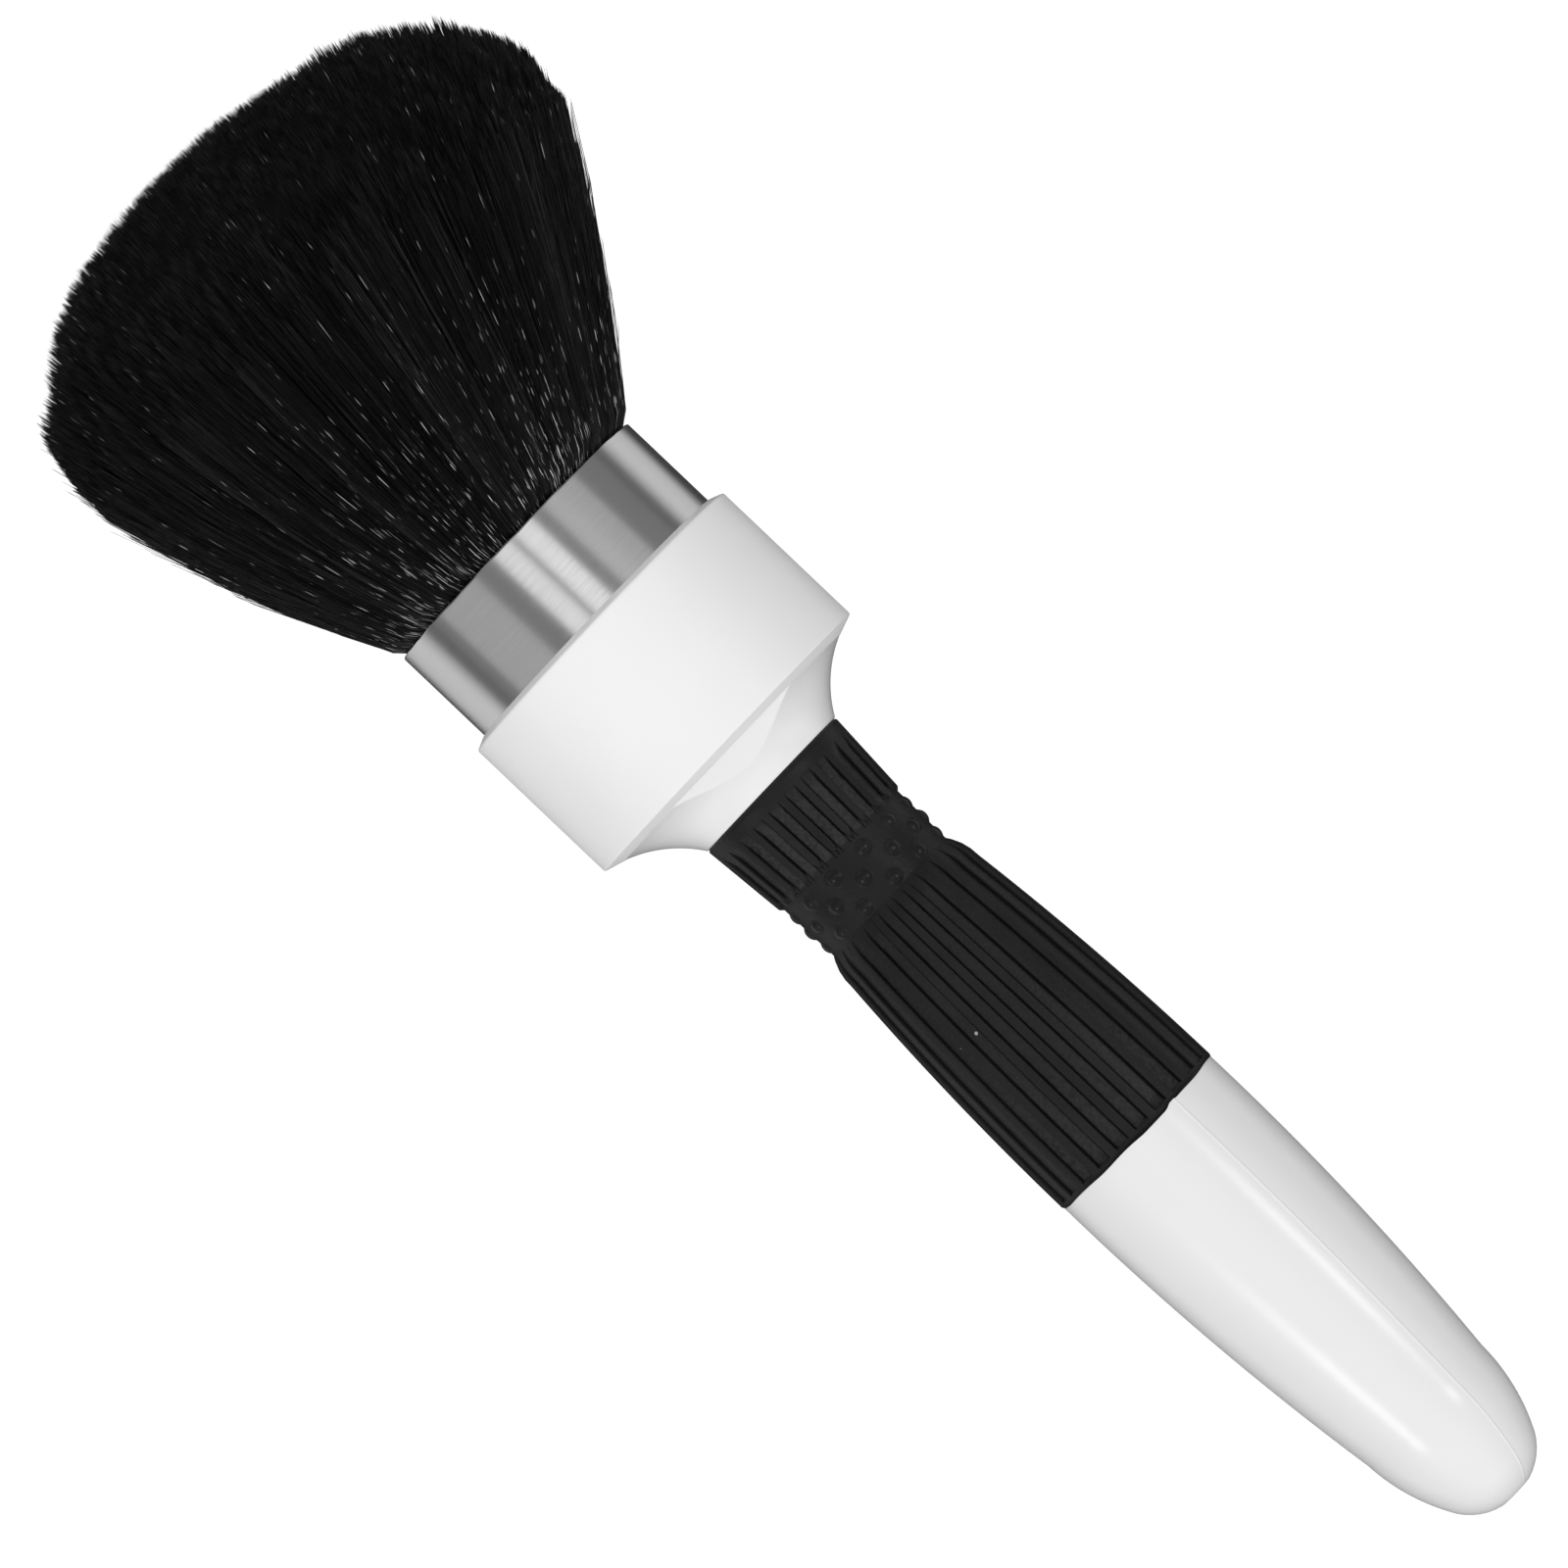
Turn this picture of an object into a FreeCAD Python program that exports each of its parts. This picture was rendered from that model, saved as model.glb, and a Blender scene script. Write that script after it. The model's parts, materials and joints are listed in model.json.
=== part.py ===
"""Neck duster brush: a flared bristle tuft set in an aluminium ferrule, a white drum and neck,
a rubber grip with ribs and nubs, and a hollow white tail.

Every piece is drawn along its own X axis, with station 0 at the middle of the drum and the tail
at +X, and is then laid down in the resting pose: tuft and tail on the plane Z = 0."""

import FreeCAD, Part
import Sketcher
import math
import os

SIZES = {
    # ferrule: a thin tube that stands out of the drum
    "ferruleMouth": -22.8, "ferruleEnd": 7.2, "ferruleRadius": 18.0, "ferruleWall": 0.7,
    # drum: the cup that holds the ferrule
    "drumTop": -10.4, "drumBottom": 10.4, "drumRadius": 19.75, "drumBore": 18.05,
    "drumTopEdge": 18.3, "drumTopDraft": 0.6, "drumBottomEdge": 17.3, "drumBottomDraft": 0.8,
    "drumScrewHole": 1.9,
    # screw, washer and backing disc
    "screwRadius": 1.6, "screwHeadRadius": 3.5, "screwHeadHeight": 2.5, "screwReach": 17.0,
    "screwSlotWidth": 0.9, "screwSlotLength": 4.2, "screwSlotDepth": 1.3,
    "washerRadius": 5.0, "washerThickness": 0.8,
    "discRadius": 17.2, "discTop": 2.3, "discThickness": 1.2,
    # bristles: root end, bound waist and plug inside the ferrule
    "rootRadius": 17.1, "rootLap": 1.0, "bindingRadius": 15.8, "bindingTop": -14.0, "rootEnd": -8.0,
    "threadRadius": 0.5, "threadPitch": 0.9, "resinRadius": 17.25,
    "spreaderTip": -34.0, "spreaderTipRadius": 2.5, "spreaderRadius": 6.0, "spreaderTaper": 14.0,
    # neck: trumpet flare, cored flange and stem
    "flareRadius": 17.2, "flareArc": 14.6, "flangeCoreInner": 5.0, "flangeCoreOuter": 10.4,
    "flangeCoreDepth": 2.6, "pilotDepth": 15.4, "stemRadius": 8.0, "stemBore": 5.6,
    "stemBoreTop": 28.0, "stemEnd": 84.0,
    "scoopDepthTop": 14.45, "scoopDepthEnd": 11.9, "scoopEnd": 14.3, "scoopArc": 18.0,
    # grip
    "gripTop": 16.3, "gripTopRadius": 10.27, "gripEnd": 72.2, "gripEndRadius": 11.84,
    "bandEnd": 18.1, "bandRadius": 10.16, "upperEnd": 26.5, "upperRadius": 9.54,
    "waistTop": 26.8, "waistTopRadius": 9.13, "waistEnd": 34.45, "waistRadius": 9.02,
    "shoulderEnd": 38.2, "shoulderRadius": 10.15, "shoulderArc": 6.3, "gripArc": 361.0,
    "panelDepth": 0.4, "panelAngle": 9.0, "rimWidth": 1.0, "clearOfGrip": 14.0,
    "ribPitch": 15.0, "ribCount": 24.0, "nubCount": 12.0,
    "nubRadius": 1.0, "nubFoot": 8.5, "nubShoulder": 9.36, "nubTop": 9.56, "nubArc": 2.6,
    "firstNubRow": 28.55, "nubRowPitch": 2.35,
    # tail
    "tailMouthRadius": 11.7, "tailBend": 116.2, "tailBendRadius": 9.22, "tailArc": 341.5,
    "tailNose": 127.1, "tailNoseRadius": 6.25, "tailBendArc": 23.7,
    "tailTip": 130.1, "tailTipRadius": 2.2, "tailNoseArc": 7.0,
    "tailWallTip": 3.0, "tailInnerNose": 122.5, "tailInnerNoseRadius": 4.2,
    "tailInnerBend": 112.0, "tailInnerBendRadius": 7.4, "tailInnerRadius": 9.0,
    "seamRaise": 0.07, "seamAngle": 1.2, "seamFoot": 1.0,
    # resting pose
    "restTilt": 6.9, "gripTurn": 2.5, "tailTurn": 62.5,
}

# Tuft outline: station, reach to -Y and reach to +Y. It flares more on the +Y side, and a
# rounded crown closes it from its widest station.
TUFT_SECTIONS = ((-22.8, 17.2, 17.2), (-36.0, 23.4, 28.3), (-48.0, 27.2, 36.8), (-58.0, 29.9, 40.5))
TUFT_CROWN = 22.0  # how far the crown stands past the widest station
TUFT_CROWN_TURNS = range(10, 81, 10)  # degrees round the crown, from its edge
TUFT_FLATNESS = 0.9  # height of a full section over its width
FLOOR_SIZE = 400.0  # larger than the tuft each way


class Length:
    """A value with the words of the sheet expression that drives it."""

    def __init__(self, value, words):
        self.value, self.words = value, words

    def __add__(self, other):
        return joined(self, other, "+", self.value + as_length(other).value)

    def __sub__(self, other):
        return joined(self, other, "-", self.value - as_length(other).value)

    def __mul__(self, other):
        return joined(self, other, "*", self.value * as_length(other).value)


def as_length(thing):
    return thing if isinstance(thing, Length) else Length(float(thing), f"{float(thing):g}")


def joined(left, right, sign, value):
    return Length(value, f"({left.words} {sign} {as_length(right).words})")


def size(name):
    return Length(SIZES[name], f"Sizes.{name}")


def make_sheet(doc):
    """The spreadsheet of driving dimensions: names in column A, values in column B."""
    sheet = doc.addObject("Spreadsheet::Sheet", "Sizes")
    for row, (name, value) in enumerate(SIZES.items(), start=1):
        sheet.set(f"A{row}", name)
        sheet.set(f"B{row}", str(value))
        sheet.setAlias(f"B{row}", name)
    doc.recompute()
    return sheet


def make_body(doc, label):
    body = doc.addObject("PartDesign::Body", label)
    body.Label = label
    return body


def origin_part(body, role):
    return next(item for item in body.Origin.OriginFeatures if item.Role == role)


def arc_between(start, end, radius):
    """A counterclockwise arc between two points, and whether it runs from start to end.

    A positive radius bulges to the left of the way from start to end."""
    chord = end - start
    depth = math.sqrt(max(radius**2 - chord.Length**2 / 4, 0.0))
    right = FreeCAD.Vector(chord.y, -chord.x, 0).normalize()
    centre = start + chord * 0.5 + right * math.copysign(depth, radius)
    first, last = (end, start) if radius > 0 else (start, end)
    angles = [math.atan2(p.y - centre.y, p.x - centre.x) for p in (first, last)]
    circle = Part.Circle(centre, FreeCAD.Vector(0, 0, 1), abs(radius))
    return Part.ArcOfCircle(circle, *angles), radius < 0


def outline(body, name, corners, turn=0.0, middle=None):
    """A closed sketch through the corners (station, radius), each driven by the sheet.

    A third entry makes the side after that corner an arc of that radius, and a fourth, -1,
    bulges it the other way. turn swings the sketch about X; middle adds a turning line."""
    sketch = body.newObject("Sketcher::SketchObject", name)
    sketch.AttachmentSupport = [(origin_part(body, "XY_Plane"), "")]
    sketch.MapMode = "FlatFace"
    swing = FreeCAD.Rotation(FreeCAD.Vector(1, 0, 0), turn)
    sketch.AttachmentOffset = FreeCAD.Placement(FreeCAD.Vector(), swing)
    points = [FreeCAD.Vector(as_length(c[0]).value, as_length(c[1]).value, 0) for c in corners]
    count = len(points)
    ends = []
    for index, corner in enumerate(corners):
        start, end = points[index], points[(index + 1) % count]
        if len(corner) > 2:
            side = corner[3] if len(corner) > 3 else 1
            arc, forward = arc_between(start, end, side * corner[2].value)
            sketch.addGeometry(arc)
        else:
            sketch.addGeometry(Part.LineSegment(start, end))
            forward = True
        ends.append((1, 2) if forward else (2, 1))
    for index, corner in enumerate(corners):
        following = (index + 1) % count
        first = ends[index][0]
        sketch.addConstraint(
            Sketcher.Constraint("Coincident", index, ends[index][1], following, ends[following][0])
        )
        hold(sketch, "DistanceX", f"station{index}", (-1, 1, index, first), corner[0])
        hold(sketch, "DistanceY", f"radius{index}", (-1, 1, index, first), corner[1])
        if len(corner) > 2:
            hold(sketch, "Radius", f"arc{index}", (index,), corner[2])
    if middle is not None:
        line = sketch.addGeometry(
            Part.LineSegment(FreeCAD.Vector(middle.value, 0, 0), FreeCAD.Vector(middle.value, 1, 0)),
            True,
        )
        sketch.addConstraint(Sketcher.Constraint("Vertical", line))
        sketch.addConstraint(Sketcher.Constraint("PointOnObject", line, 1, -1))
        hold(sketch, "DistanceX", "turning", (-1, 1, line, 1), middle)
        hold(sketch, "DistanceY", "turningTop", (-1, 1, line, 2), as_length(1.0))
    return sketch


def hold(sketch, kind, name, where, length):
    """One driven constraint; a point on the axis is simply kept on it."""
    length = as_length(length)
    if kind == "DistanceY" and length.value == 0:
        sketch.addConstraint(Sketcher.Constraint("PointOnObject", where[2], where[3], -1))
        return
    index = sketch.addConstraint(Sketcher.Constraint(kind, *where, length.value))
    sketch.renameConstraint(index, name)
    sketch.setExpression(f"Constraints.{name}", length.words)


def turned(body, sketch, name, angle=None, kind="Revolution", axis="H_Axis"):
    """A revolution or a groove of the sketch; a part turn is centred on the sketch."""
    feature = body.newObject(f"PartDesign::{kind}", name)
    feature.Profile = sketch
    feature.ReferenceAxis = (sketch, [axis])
    feature.Angle = 360
    if angle is not None:
        feature.Angle = angle.value
        feature.Midplane = True
        feature.setExpression("Angle", angle.words)
    sketch.Visibility = False
    return feature


def around(body, feature, name, count):
    """The feature repeated evenly about the X axis."""
    pattern = body.newObject("PartDesign::PolarPattern", name)
    pattern.Originals = [feature]
    pattern.Axis = (origin_part(body, "X_Axis"), [""])
    pattern.Angle = 360
    pattern.Occurrences = int(count.value)
    pattern.setExpression("Occurrences", count.words)
    body.Tip = pattern
    return pattern


def through(body, sketch, name):
    """A pocket that goes right through, both ways from its sketch."""
    pocket = body.newObject("PartDesign::Pocket", name)
    pocket.Profile = sketch
    pocket.Type = "ThroughAll"
    pocket.Midplane = True
    return pocket


def make_ferrule(doc):
    """Aluminium tube with its mouth rolled to a round lip."""
    body = make_body(doc, "ferrule")
    radius, wall = size("ferruleRadius"), size("ferruleWall")
    lip = size("ferruleMouth") + wall * 0.5
    sketch = outline(body, "FerruleWall", [
        (lip, radius - wall, wall * 0.5), (lip, radius), (size("ferruleEnd"), radius),
        (size("ferruleEnd"), radius - wall),
    ])
    turned(body, sketch, "FerruleTube")
    return body


def make_drum(doc):
    """White cup that holds the ferrule, with shallow cones for end faces and a screw hole."""
    body = make_body(doc, "collar_cup")
    top, bottom, rim = size("drumTop"), size("drumBottom"), size("drumRadius")
    sketch = outline(body, "DrumWall", [
        (top, size("drumBore")), (top, size("drumTopEdge")), (top + size("drumTopDraft"), rim),
        (bottom - size("drumBottomDraft"), rim), (bottom, size("drumBottomEdge")),
        (bottom, size("drumScrewHole")), (size("ferruleEnd"), size("drumScrewHole")),
        (size("ferruleEnd"), size("drumBore")),
    ])
    turned(body, sketch, "Drum")
    return body


def make_washer(doc):
    body = make_body(doc, "screw_washer")
    floor = size("ferruleEnd")
    top = floor - size("washerThickness")
    hole, rim = size("screwRadius") + 0.1, size("washerRadius")
    turned(body, outline(body, "WasherSection", [
        (top, hole), (top, rim), (floor, rim), (floor, hole),
    ]), "Washer")
    return body


def make_screw(doc):
    """Pan head screw with a cross recess, from the washer down into the neck."""
    body = make_body(doc, "collar_screw")
    seat = size("ferruleEnd") - size("washerThickness")
    head, rim, shank = seat - size("screwHeadHeight"), size("screwHeadRadius"), size("screwRadius")
    tip = seat + size("screwReach")
    turned(body, outline(body, "ScrewSection", [
        (head, 0), (head, rim * 0.6, rim), (head + 1.2, rim), (seat, rim), (seat, shank),
        (tip - 2.0, shank), (tip, 0),
    ]), "Screw")
    for turn, name in ((0, "Across"), (90, "Upright")):
        slot, half = size("screwSlotWidth") * 0.5, size("screwSlotLength") * 0.5
        sketch = outline(body, f"Recess{name}", [
            (head - 1.0, half * -1), (head - 1.0, half), (head + size("screwSlotDepth"), half),
            (head + size("screwSlotDepth"), half * -1),
        ], turn=turn)
        cut = body.newObject("PartDesign::Pocket", f"Slot{name}")
        cut.Profile = sketch
        cut.Midplane = True
        cut.Length = 2 * slot.value
        cut.setExpression("Length", (slot * 2).words)
    return body


def make_disc(doc):
    """Disc that closes the ferrule under the resin."""
    body = make_body(doc, "ferrule_backing_disc")
    top, rim = size("discTop"), size("discRadius")
    end = top + size("discThickness")
    turned(body, outline(body, "DiscSection", [
        (top, 0), (top, rim), (end - 0.3, rim), (end, rim - 0.3), (end, 0),
    ]), "Disc")
    return body


def make_resin(doc):
    """Cast resin that locks the bristle roots into the ferrule."""
    body = make_body(doc, "root_resin_plug")
    rim = size("resinRadius")
    turned(body, outline(body, "ResinSection", [
        (size("rootEnd"), 0), (size("rootEnd"), rim), (size("discTop"), rim), (size("discTop"), 0),
    ]), "Resin")
    return body


def make_spreader(doc):
    """Round wooden plug in the middle of the roots, which makes the tuft fan out."""
    body = make_body(doc, "bristle_spreader")
    tip, point, foot = size("spreaderTip"), size("spreaderTipRadius"), size("spreaderRadius")
    turned(body, outline(body, "SpreaderSection", [
        (tip, 0, point), (tip + point, point), (tip + size("spreaderTaper"), foot), (size("rootEnd"), foot),
        (size("rootEnd"), 0),
    ]), "Spreader")
    return body


def make_binding(doc):
    """Thread wound side by side round the bristle roots, drawn as rings that touch."""
    rings = []
    room = SIZES["rootEnd"] - SIZES["bindingTop"] - 2 * SIZES["threadRadius"]
    turns = int(room / SIZES["threadPitch"]) + 1
    first = size("bindingTop") + size("threadRadius")
    for index in range(turns):
        ring = doc.addObject("Part::Torus", f"ThreadTurn{index}")
        ring.setExpression("Radius1", "Sizes.bindingRadius + Sizes.threadRadius")
        ring.setExpression("Radius2", "Sizes.threadRadius")
        ring.Placement = FreeCAD.Placement(
            FreeCAD.Vector(), FreeCAD.Rotation(FreeCAD.Vector(0, 1, 0), 90)
        )
        place = first + size("threadPitch") * index
        ring.setExpression("Placement.Base.x", place.words)
        rings.append(ring)
    binding = doc.addObject("Part::MultiFuse", "root_binding")
    binding.Shapes = rings
    binding.Label = "root_binding"
    return binding


def make_neck(doc):
    """Trumpet neck with a cored flange and two thumb scoops, and the hollow stem under the grip."""
    body = make_body(doc, "neck_core")
    top, grip, stem = size("drumBottom"), size("gripTop"), size("stemRadius")
    core = top + size("flangeCoreDepth")
    turned(body, outline(body, "NeckSection", [
        (top, size("screwRadius")), (top, size("flangeCoreInner")), (core, size("flangeCoreInner")),
        (core, size("flangeCoreOuter")), (top, size("flangeCoreOuter")),
        (top, size("flareRadius"), size("flareArc"), -1),
        (grip, size("gripTopRadius")), (grip, stem), (size("stemEnd"), stem),
        (size("stemEnd"), size("stemBore")), (size("stemBoreTop"), size("stemBore")),
        (size("stemBoreTop"), 0), (top + size("pilotDepth"), 0),
        (top + size("pilotDepth"), size("screwRadius")),
    ]), "NeckAndStem")
    for side, name in ((1, "Front"), (-1, "Back")):
        sketch = outline(body, f"Scoop{name}", [
            (top - 1.0, size("flareRadius") * side + 3.0 * side),
            (top - 1.0, size("scoopDepthTop") * side + 0.7 * side),
            (top, size("scoopDepthTop") * side, size("scoopArc"), -side),
            (size("scoopEnd"), size("scoopDepthEnd") * side),
            (size("scoopEnd"), size("flareRadius") * side + 3.0 * side),
        ], turn=90)
        through(body, sketch, f"Thumb{name}")
    return body


def grip_profile():
    """The grip's outer outline at the level of its ribs, from the neck to the tail."""
    return [
        (size("gripTop"), size("gripTopRadius")), (size("bandEnd"), size("bandRadius")),
        (size("upperEnd"), size("upperRadius")), (size("waistTop"), size("waistTopRadius")),
        (size("waistEnd"), size("waistRadius"), size("shoulderArc")),
        (size("shoulderEnd"), size("shoulderRadius"), size("gripArc")),
        (size("gripEnd"), size("gripEndRadius")),
    ]


def make_grip(doc):
    """Rubber sleeve: upper ribs, a waist with three rows of nubs, and long lower ribs."""
    body = make_body(doc, "grip_sleeve")
    stem, deep, clear = size("stemRadius"), size("panelDepth"), size("clearOfGrip")
    turned(body, outline(
        body, "GripSection",
        grip_profile() + [(size("gripEnd"), stem), (size("gripTop"), stem)],
    ), "Sleeve")
    between = SIZES["ribPitch"] / 2
    upper = turned(body, outline(body, "UpperPanelSection", [
        (size("bandEnd"), clear), (size("bandEnd"), size("bandRadius") - deep),
        (size("waistTop"), size("waistTopRadius") - 0.02), (size("waistTop"), clear),
    ], turn=between), "UpperPanel", size("panelAngle"), "Groove")
    around(body, upper, "UpperPanels", size("ribCount"))
    rim = size("gripEnd") - size("rimWidth")
    lower = turned(body, outline(body, "LowerPanelSection", [
        (size("waistEnd"), clear), (size("waistEnd"), size("waistRadius") - 0.02),
        (size("waistEnd") + 0.5, size("waistRadius") - 0.02, size("shoulderArc")),
        (size("shoulderEnd") + deep, size("shoulderRadius") - deep, size("gripArc")),
        (rim, size("gripEndRadius") - deep - 0.04), (rim, clear),
    ], turn=between), "LowerPanel", size("panelAngle"), "Groove")
    around(body, lower, "LowerPanels", size("ribCount"))
    for row in range(3):
        place = size("firstNubRow") + size("nubRowPitch") * row
        sketch = outline(body, f"NubSection{row}", [
            (place, size("nubFoot")), (place, size("nubTop"), size("nubArc")),
            (place + size("nubRadius"), size("nubShoulder")),
            (place + size("nubRadius"), size("nubFoot")),
        ], turn=0 if row == 1 else SIZES["ribPitch"], middle=place)
        nub = turned(body, sketch, f"Nub{row}", axis="Axis0")
        around(body, nub, f"NubRow{row}", size("nubCount"))
    return body


def make_tail(doc):
    """Hollow glossy tail that slides over the end of the stem, with two fine mould seams."""
    body = make_body(doc, "tail_shell")
    mouth, bend, nose = size("gripEnd"), size("tailBend"), size("tailNose")
    turned(body, outline(body, "TailSection", [
        (mouth, size("stemRadius")), (mouth, size("tailMouthRadius"), size("tailArc")),
        (bend, size("tailBendRadius"), size("tailBendArc")),
        (nose, size("tailNoseRadius"), size("tailNoseArc")),
        (size("tailTip"), size("tailTipRadius")), (size("tailTip"), 0),
        (size("tailTip") - size("tailWallTip"), 0),
        (size("tailInnerNose"), size("tailInnerNoseRadius")),
        (size("tailInnerBend"), size("tailInnerBendRadius")),
        (size("stemEnd") + 1.5, size("tailInnerRadius")),
        (size("stemEnd"), size("tailInnerRadius")), (size("stemEnd"), size("stemRadius")),
    ]), "Tail")
    raised, foot = size("seamRaise"), size("seamFoot")
    seam = turned(body, outline(body, "SeamSection", [
        (mouth + 0.5, size("tailMouthRadius") - foot),
        (mouth + 0.5, size("tailMouthRadius") + raised, size("tailArc") + raised),
        (bend, size("tailBendRadius") + raised, size("tailBendArc") + raised),
        (nose, size("tailNoseRadius") + raised),
        (nose, size("tailNoseRadius") - foot),
        (bend, size("tailBendRadius") - foot),
    ]), "Seam", size("seamAngle"))
    around(body, seam, "Seams", as_length(2))
    return body


def resting_height():
    """Height of station 0 over the plane that the tail's long arc touches."""
    start = FreeCAD.Vector(SIZES["gripEnd"], SIZES["tailMouthRadius"], 0)
    end = FreeCAD.Vector(SIZES["tailBend"], SIZES["tailBendRadius"], 0)
    arc, _ = arc_between(start, end, SIZES["tailArc"])
    middle = arc.Center
    tilt = math.radians(SIZES["restTilt"])
    return SIZES["tailArc"] + middle.x * math.sin(tilt) + middle.y * math.cos(tilt)


def resting_place():
    turn = FreeCAD.Rotation(FreeCAD.Vector(0, 1, 0), SIZES["restTilt"])
    return FreeCAD.Placement(FreeCAD.Vector(0, 0, resting_height()), turn)


def tuft_section(station, near, far):
    """Middle, half width and half height of the tuft: round at the ferrule, flatter where full."""
    fullness = min(1.0, (SIZES["ferruleMouth"] - station) / 12.0)
    half_width = (near + far) / 2
    half_height = half_width * (1 - (1 - TUFT_FLATNESS) * fullness)
    return FreeCAD.Vector(station, (far - near) / 2, 0), half_width, half_height


def tuft_wire(middle, half_width, half_height):
    """One ellipse across the tuft; the first is as good as a circle."""
    side = middle + FreeCAD.Vector(0, half_width + 1e-4, 0)
    return Part.Wire(Part.Ellipse(side, middle + FreeCAD.Vector(0, 0, half_height), middle).toShape())


def tuft_wires():
    """Ellipses up the fan and then round the crown, which closes like a stretched ball."""
    sections = [tuft_section(*row) for row in TUFT_SECTIONS]
    middle, half_width, half_height = sections[-1]
    for turn in TUFT_CROWN_TURNS:
        shrink, rise = math.cos(math.radians(turn)), math.sin(math.radians(turn))
        place = FreeCAD.Vector(middle.x - TUFT_CROWN * rise, middle.y * shrink, 0)
        sections.append((place, half_width * shrink, half_height * shrink))
    return [tuft_wire(*section) for section in sections]


def make_tuft(doc):
    """Soft closed solid of the bristles, flat where it lies on the plane Z = 0."""
    tuft = doc.addObject("Part::Feature", "bristle_tuft")
    tuft.Label = "bristle_tuft"
    along = FreeCAD.Vector(1, 0, 0)
    mouth, bound, end = SIZES["ferruleMouth"], SIZES["bindingTop"], SIZES["rootEnd"]
    tip, point, foot = SIZES["spreaderTip"], SIZES["spreaderTipRadius"], SIZES["spreaderRadius"]
    round_end, shoulder = tip + point, tip + SIZES["spreaderTaper"]
    fan = Part.makeLoft(tuft_wires(), True, True)
    above = mouth - SIZES["rootLap"]
    root = Part.makeCylinder(SIZES["rootRadius"], bound - above, FreeCAD.Vector(above, 0, 0), along)
    waist = Part.makeCylinder(SIZES["bindingRadius"], end - bound, FreeCAD.Vector(bound, 0, 0), along)
    plug = Part.makeSphere(point, FreeCAD.Vector(round_end, 0, 0))
    cone = Part.makeCone(point, foot, shoulder - round_end, FreeCAD.Vector(round_end, 0, 0), along)
    shaft = Part.makeCylinder(foot, end - shoulder, FreeCAD.Vector(shoulder, 0, 0), along)
    solid = fan.fuse([root, waist]).cut([plug, cone, shaft])
    under = Part.makeBox(FLOOR_SIZE, FLOOR_SIZE, FLOOR_SIZE)
    under.translate(FreeCAD.Vector(-FLOOR_SIZE / 2, -FLOOR_SIZE / 2, -FLOOR_SIZE))
    under.Placement = resting_place().inverse().multiply(under.Placement)
    tuft.Shape = solid.cut(under).removeSplitter()
    return tuft


def lay_down(pieces, turns):
    """Puts every piece in the resting pose, with the origin under the middle of the box."""
    rest = resting_place()
    whole = FreeCAD.BoundBox()
    for piece in pieces:
        shape = piece.Shape.copy()
        shape.Placement = rest.multiply(shape.Placement)
        whole.add(shape.optimalBoundingBox())
    middle = FreeCAD.Vector(whole.Center.x, whole.Center.y, 0)
    rest.Base = rest.Base - middle
    for piece in pieces:
        swing = FreeCAD.Rotation(FreeCAD.Vector(1, 0, 0), turns.get(piece.Label, 0.0))
        piece.Placement = rest.multiply(FreeCAD.Placement(FreeCAD.Vector(), swing))
    print("station 0 lies at", [round(value, 4) for value in rest.Base])
    print("overall size", round(whole.XLength, 2), round(whole.YLength, 2), round(whole.ZMax, 2))


def check(doc, pieces):
    """Stops before anything is written if a feature failed or a shape is not a sound solid."""
    for item in doc.Objects:
        if "Invalid" in item.State or "Error" in item.State:
            raise RuntimeError(f"{item.Label} did not compute: {item.State}")
    for piece in pieces:
        shape = piece.Shape
        if shape.isNull() or not shape.isValid() or not shape.Solids:
            raise RuntimeError(f"{piece.Label} is not a sound solid")


def main():
    doc = FreeCAD.newDocument("NeckDuster")
    make_sheet(doc)
    makers = (
        make_tuft, make_binding, make_spreader, make_resin, make_ferrule, make_disc,
        make_drum, make_screw, make_washer, make_neck, make_grip, make_tail,
    )
    pieces = [maker(doc) for maker in makers]
    doc.recompute()
    lay_down(pieces, {"grip_sleeve": SIZES["gripTurn"], "tail_shell": SIZES["tailTurn"]})
    doc.recompute()
    check(doc, pieces)
    os.makedirs("parts", exist_ok=True)
    for piece in pieces:
        piece.Shape.exportStep(f"parts/{piece.Label}.step")
        print(f"{piece.Label}: {len(piece.Shape.Solids)} solid, {piece.Shape.Volume / 1000:.2f} cm3")


main()
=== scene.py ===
import json
import math

import bpy
import numpy as np
from mathutils import Matrix, Vector
from mathutils.kdtree import KDTree


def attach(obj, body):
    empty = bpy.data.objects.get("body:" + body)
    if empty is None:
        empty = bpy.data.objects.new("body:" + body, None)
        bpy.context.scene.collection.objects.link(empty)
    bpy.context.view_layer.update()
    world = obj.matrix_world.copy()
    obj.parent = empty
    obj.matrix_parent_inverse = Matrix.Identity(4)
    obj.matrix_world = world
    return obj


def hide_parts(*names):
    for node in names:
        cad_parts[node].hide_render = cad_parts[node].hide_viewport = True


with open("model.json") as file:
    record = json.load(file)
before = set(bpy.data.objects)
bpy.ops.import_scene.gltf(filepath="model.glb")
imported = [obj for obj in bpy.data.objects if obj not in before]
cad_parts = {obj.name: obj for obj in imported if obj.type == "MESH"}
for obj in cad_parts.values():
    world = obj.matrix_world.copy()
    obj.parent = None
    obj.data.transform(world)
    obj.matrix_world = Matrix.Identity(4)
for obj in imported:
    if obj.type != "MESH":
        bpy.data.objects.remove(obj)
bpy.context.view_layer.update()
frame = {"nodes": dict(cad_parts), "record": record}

mm = 0.001
fullTurn = 2 * np.pi
chance = np.random.default_rng(610)
print("stage: frame loaded")

# the brush lies along its own axis, in mm: x towards the tail, y across, z up off the table
drumMount = next(m for m in frame["record"]["mounts"] if m["name"] == "drum")
along = Vector(drumMount["axis"]).normalized()
aside = Vector((0, 1, 0))
upward = along.cross(aside)
layDown = Matrix.Translation(drumMount["pos_m"]) @ Matrix((along, aside, upward)).transposed().to_4x4()


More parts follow.
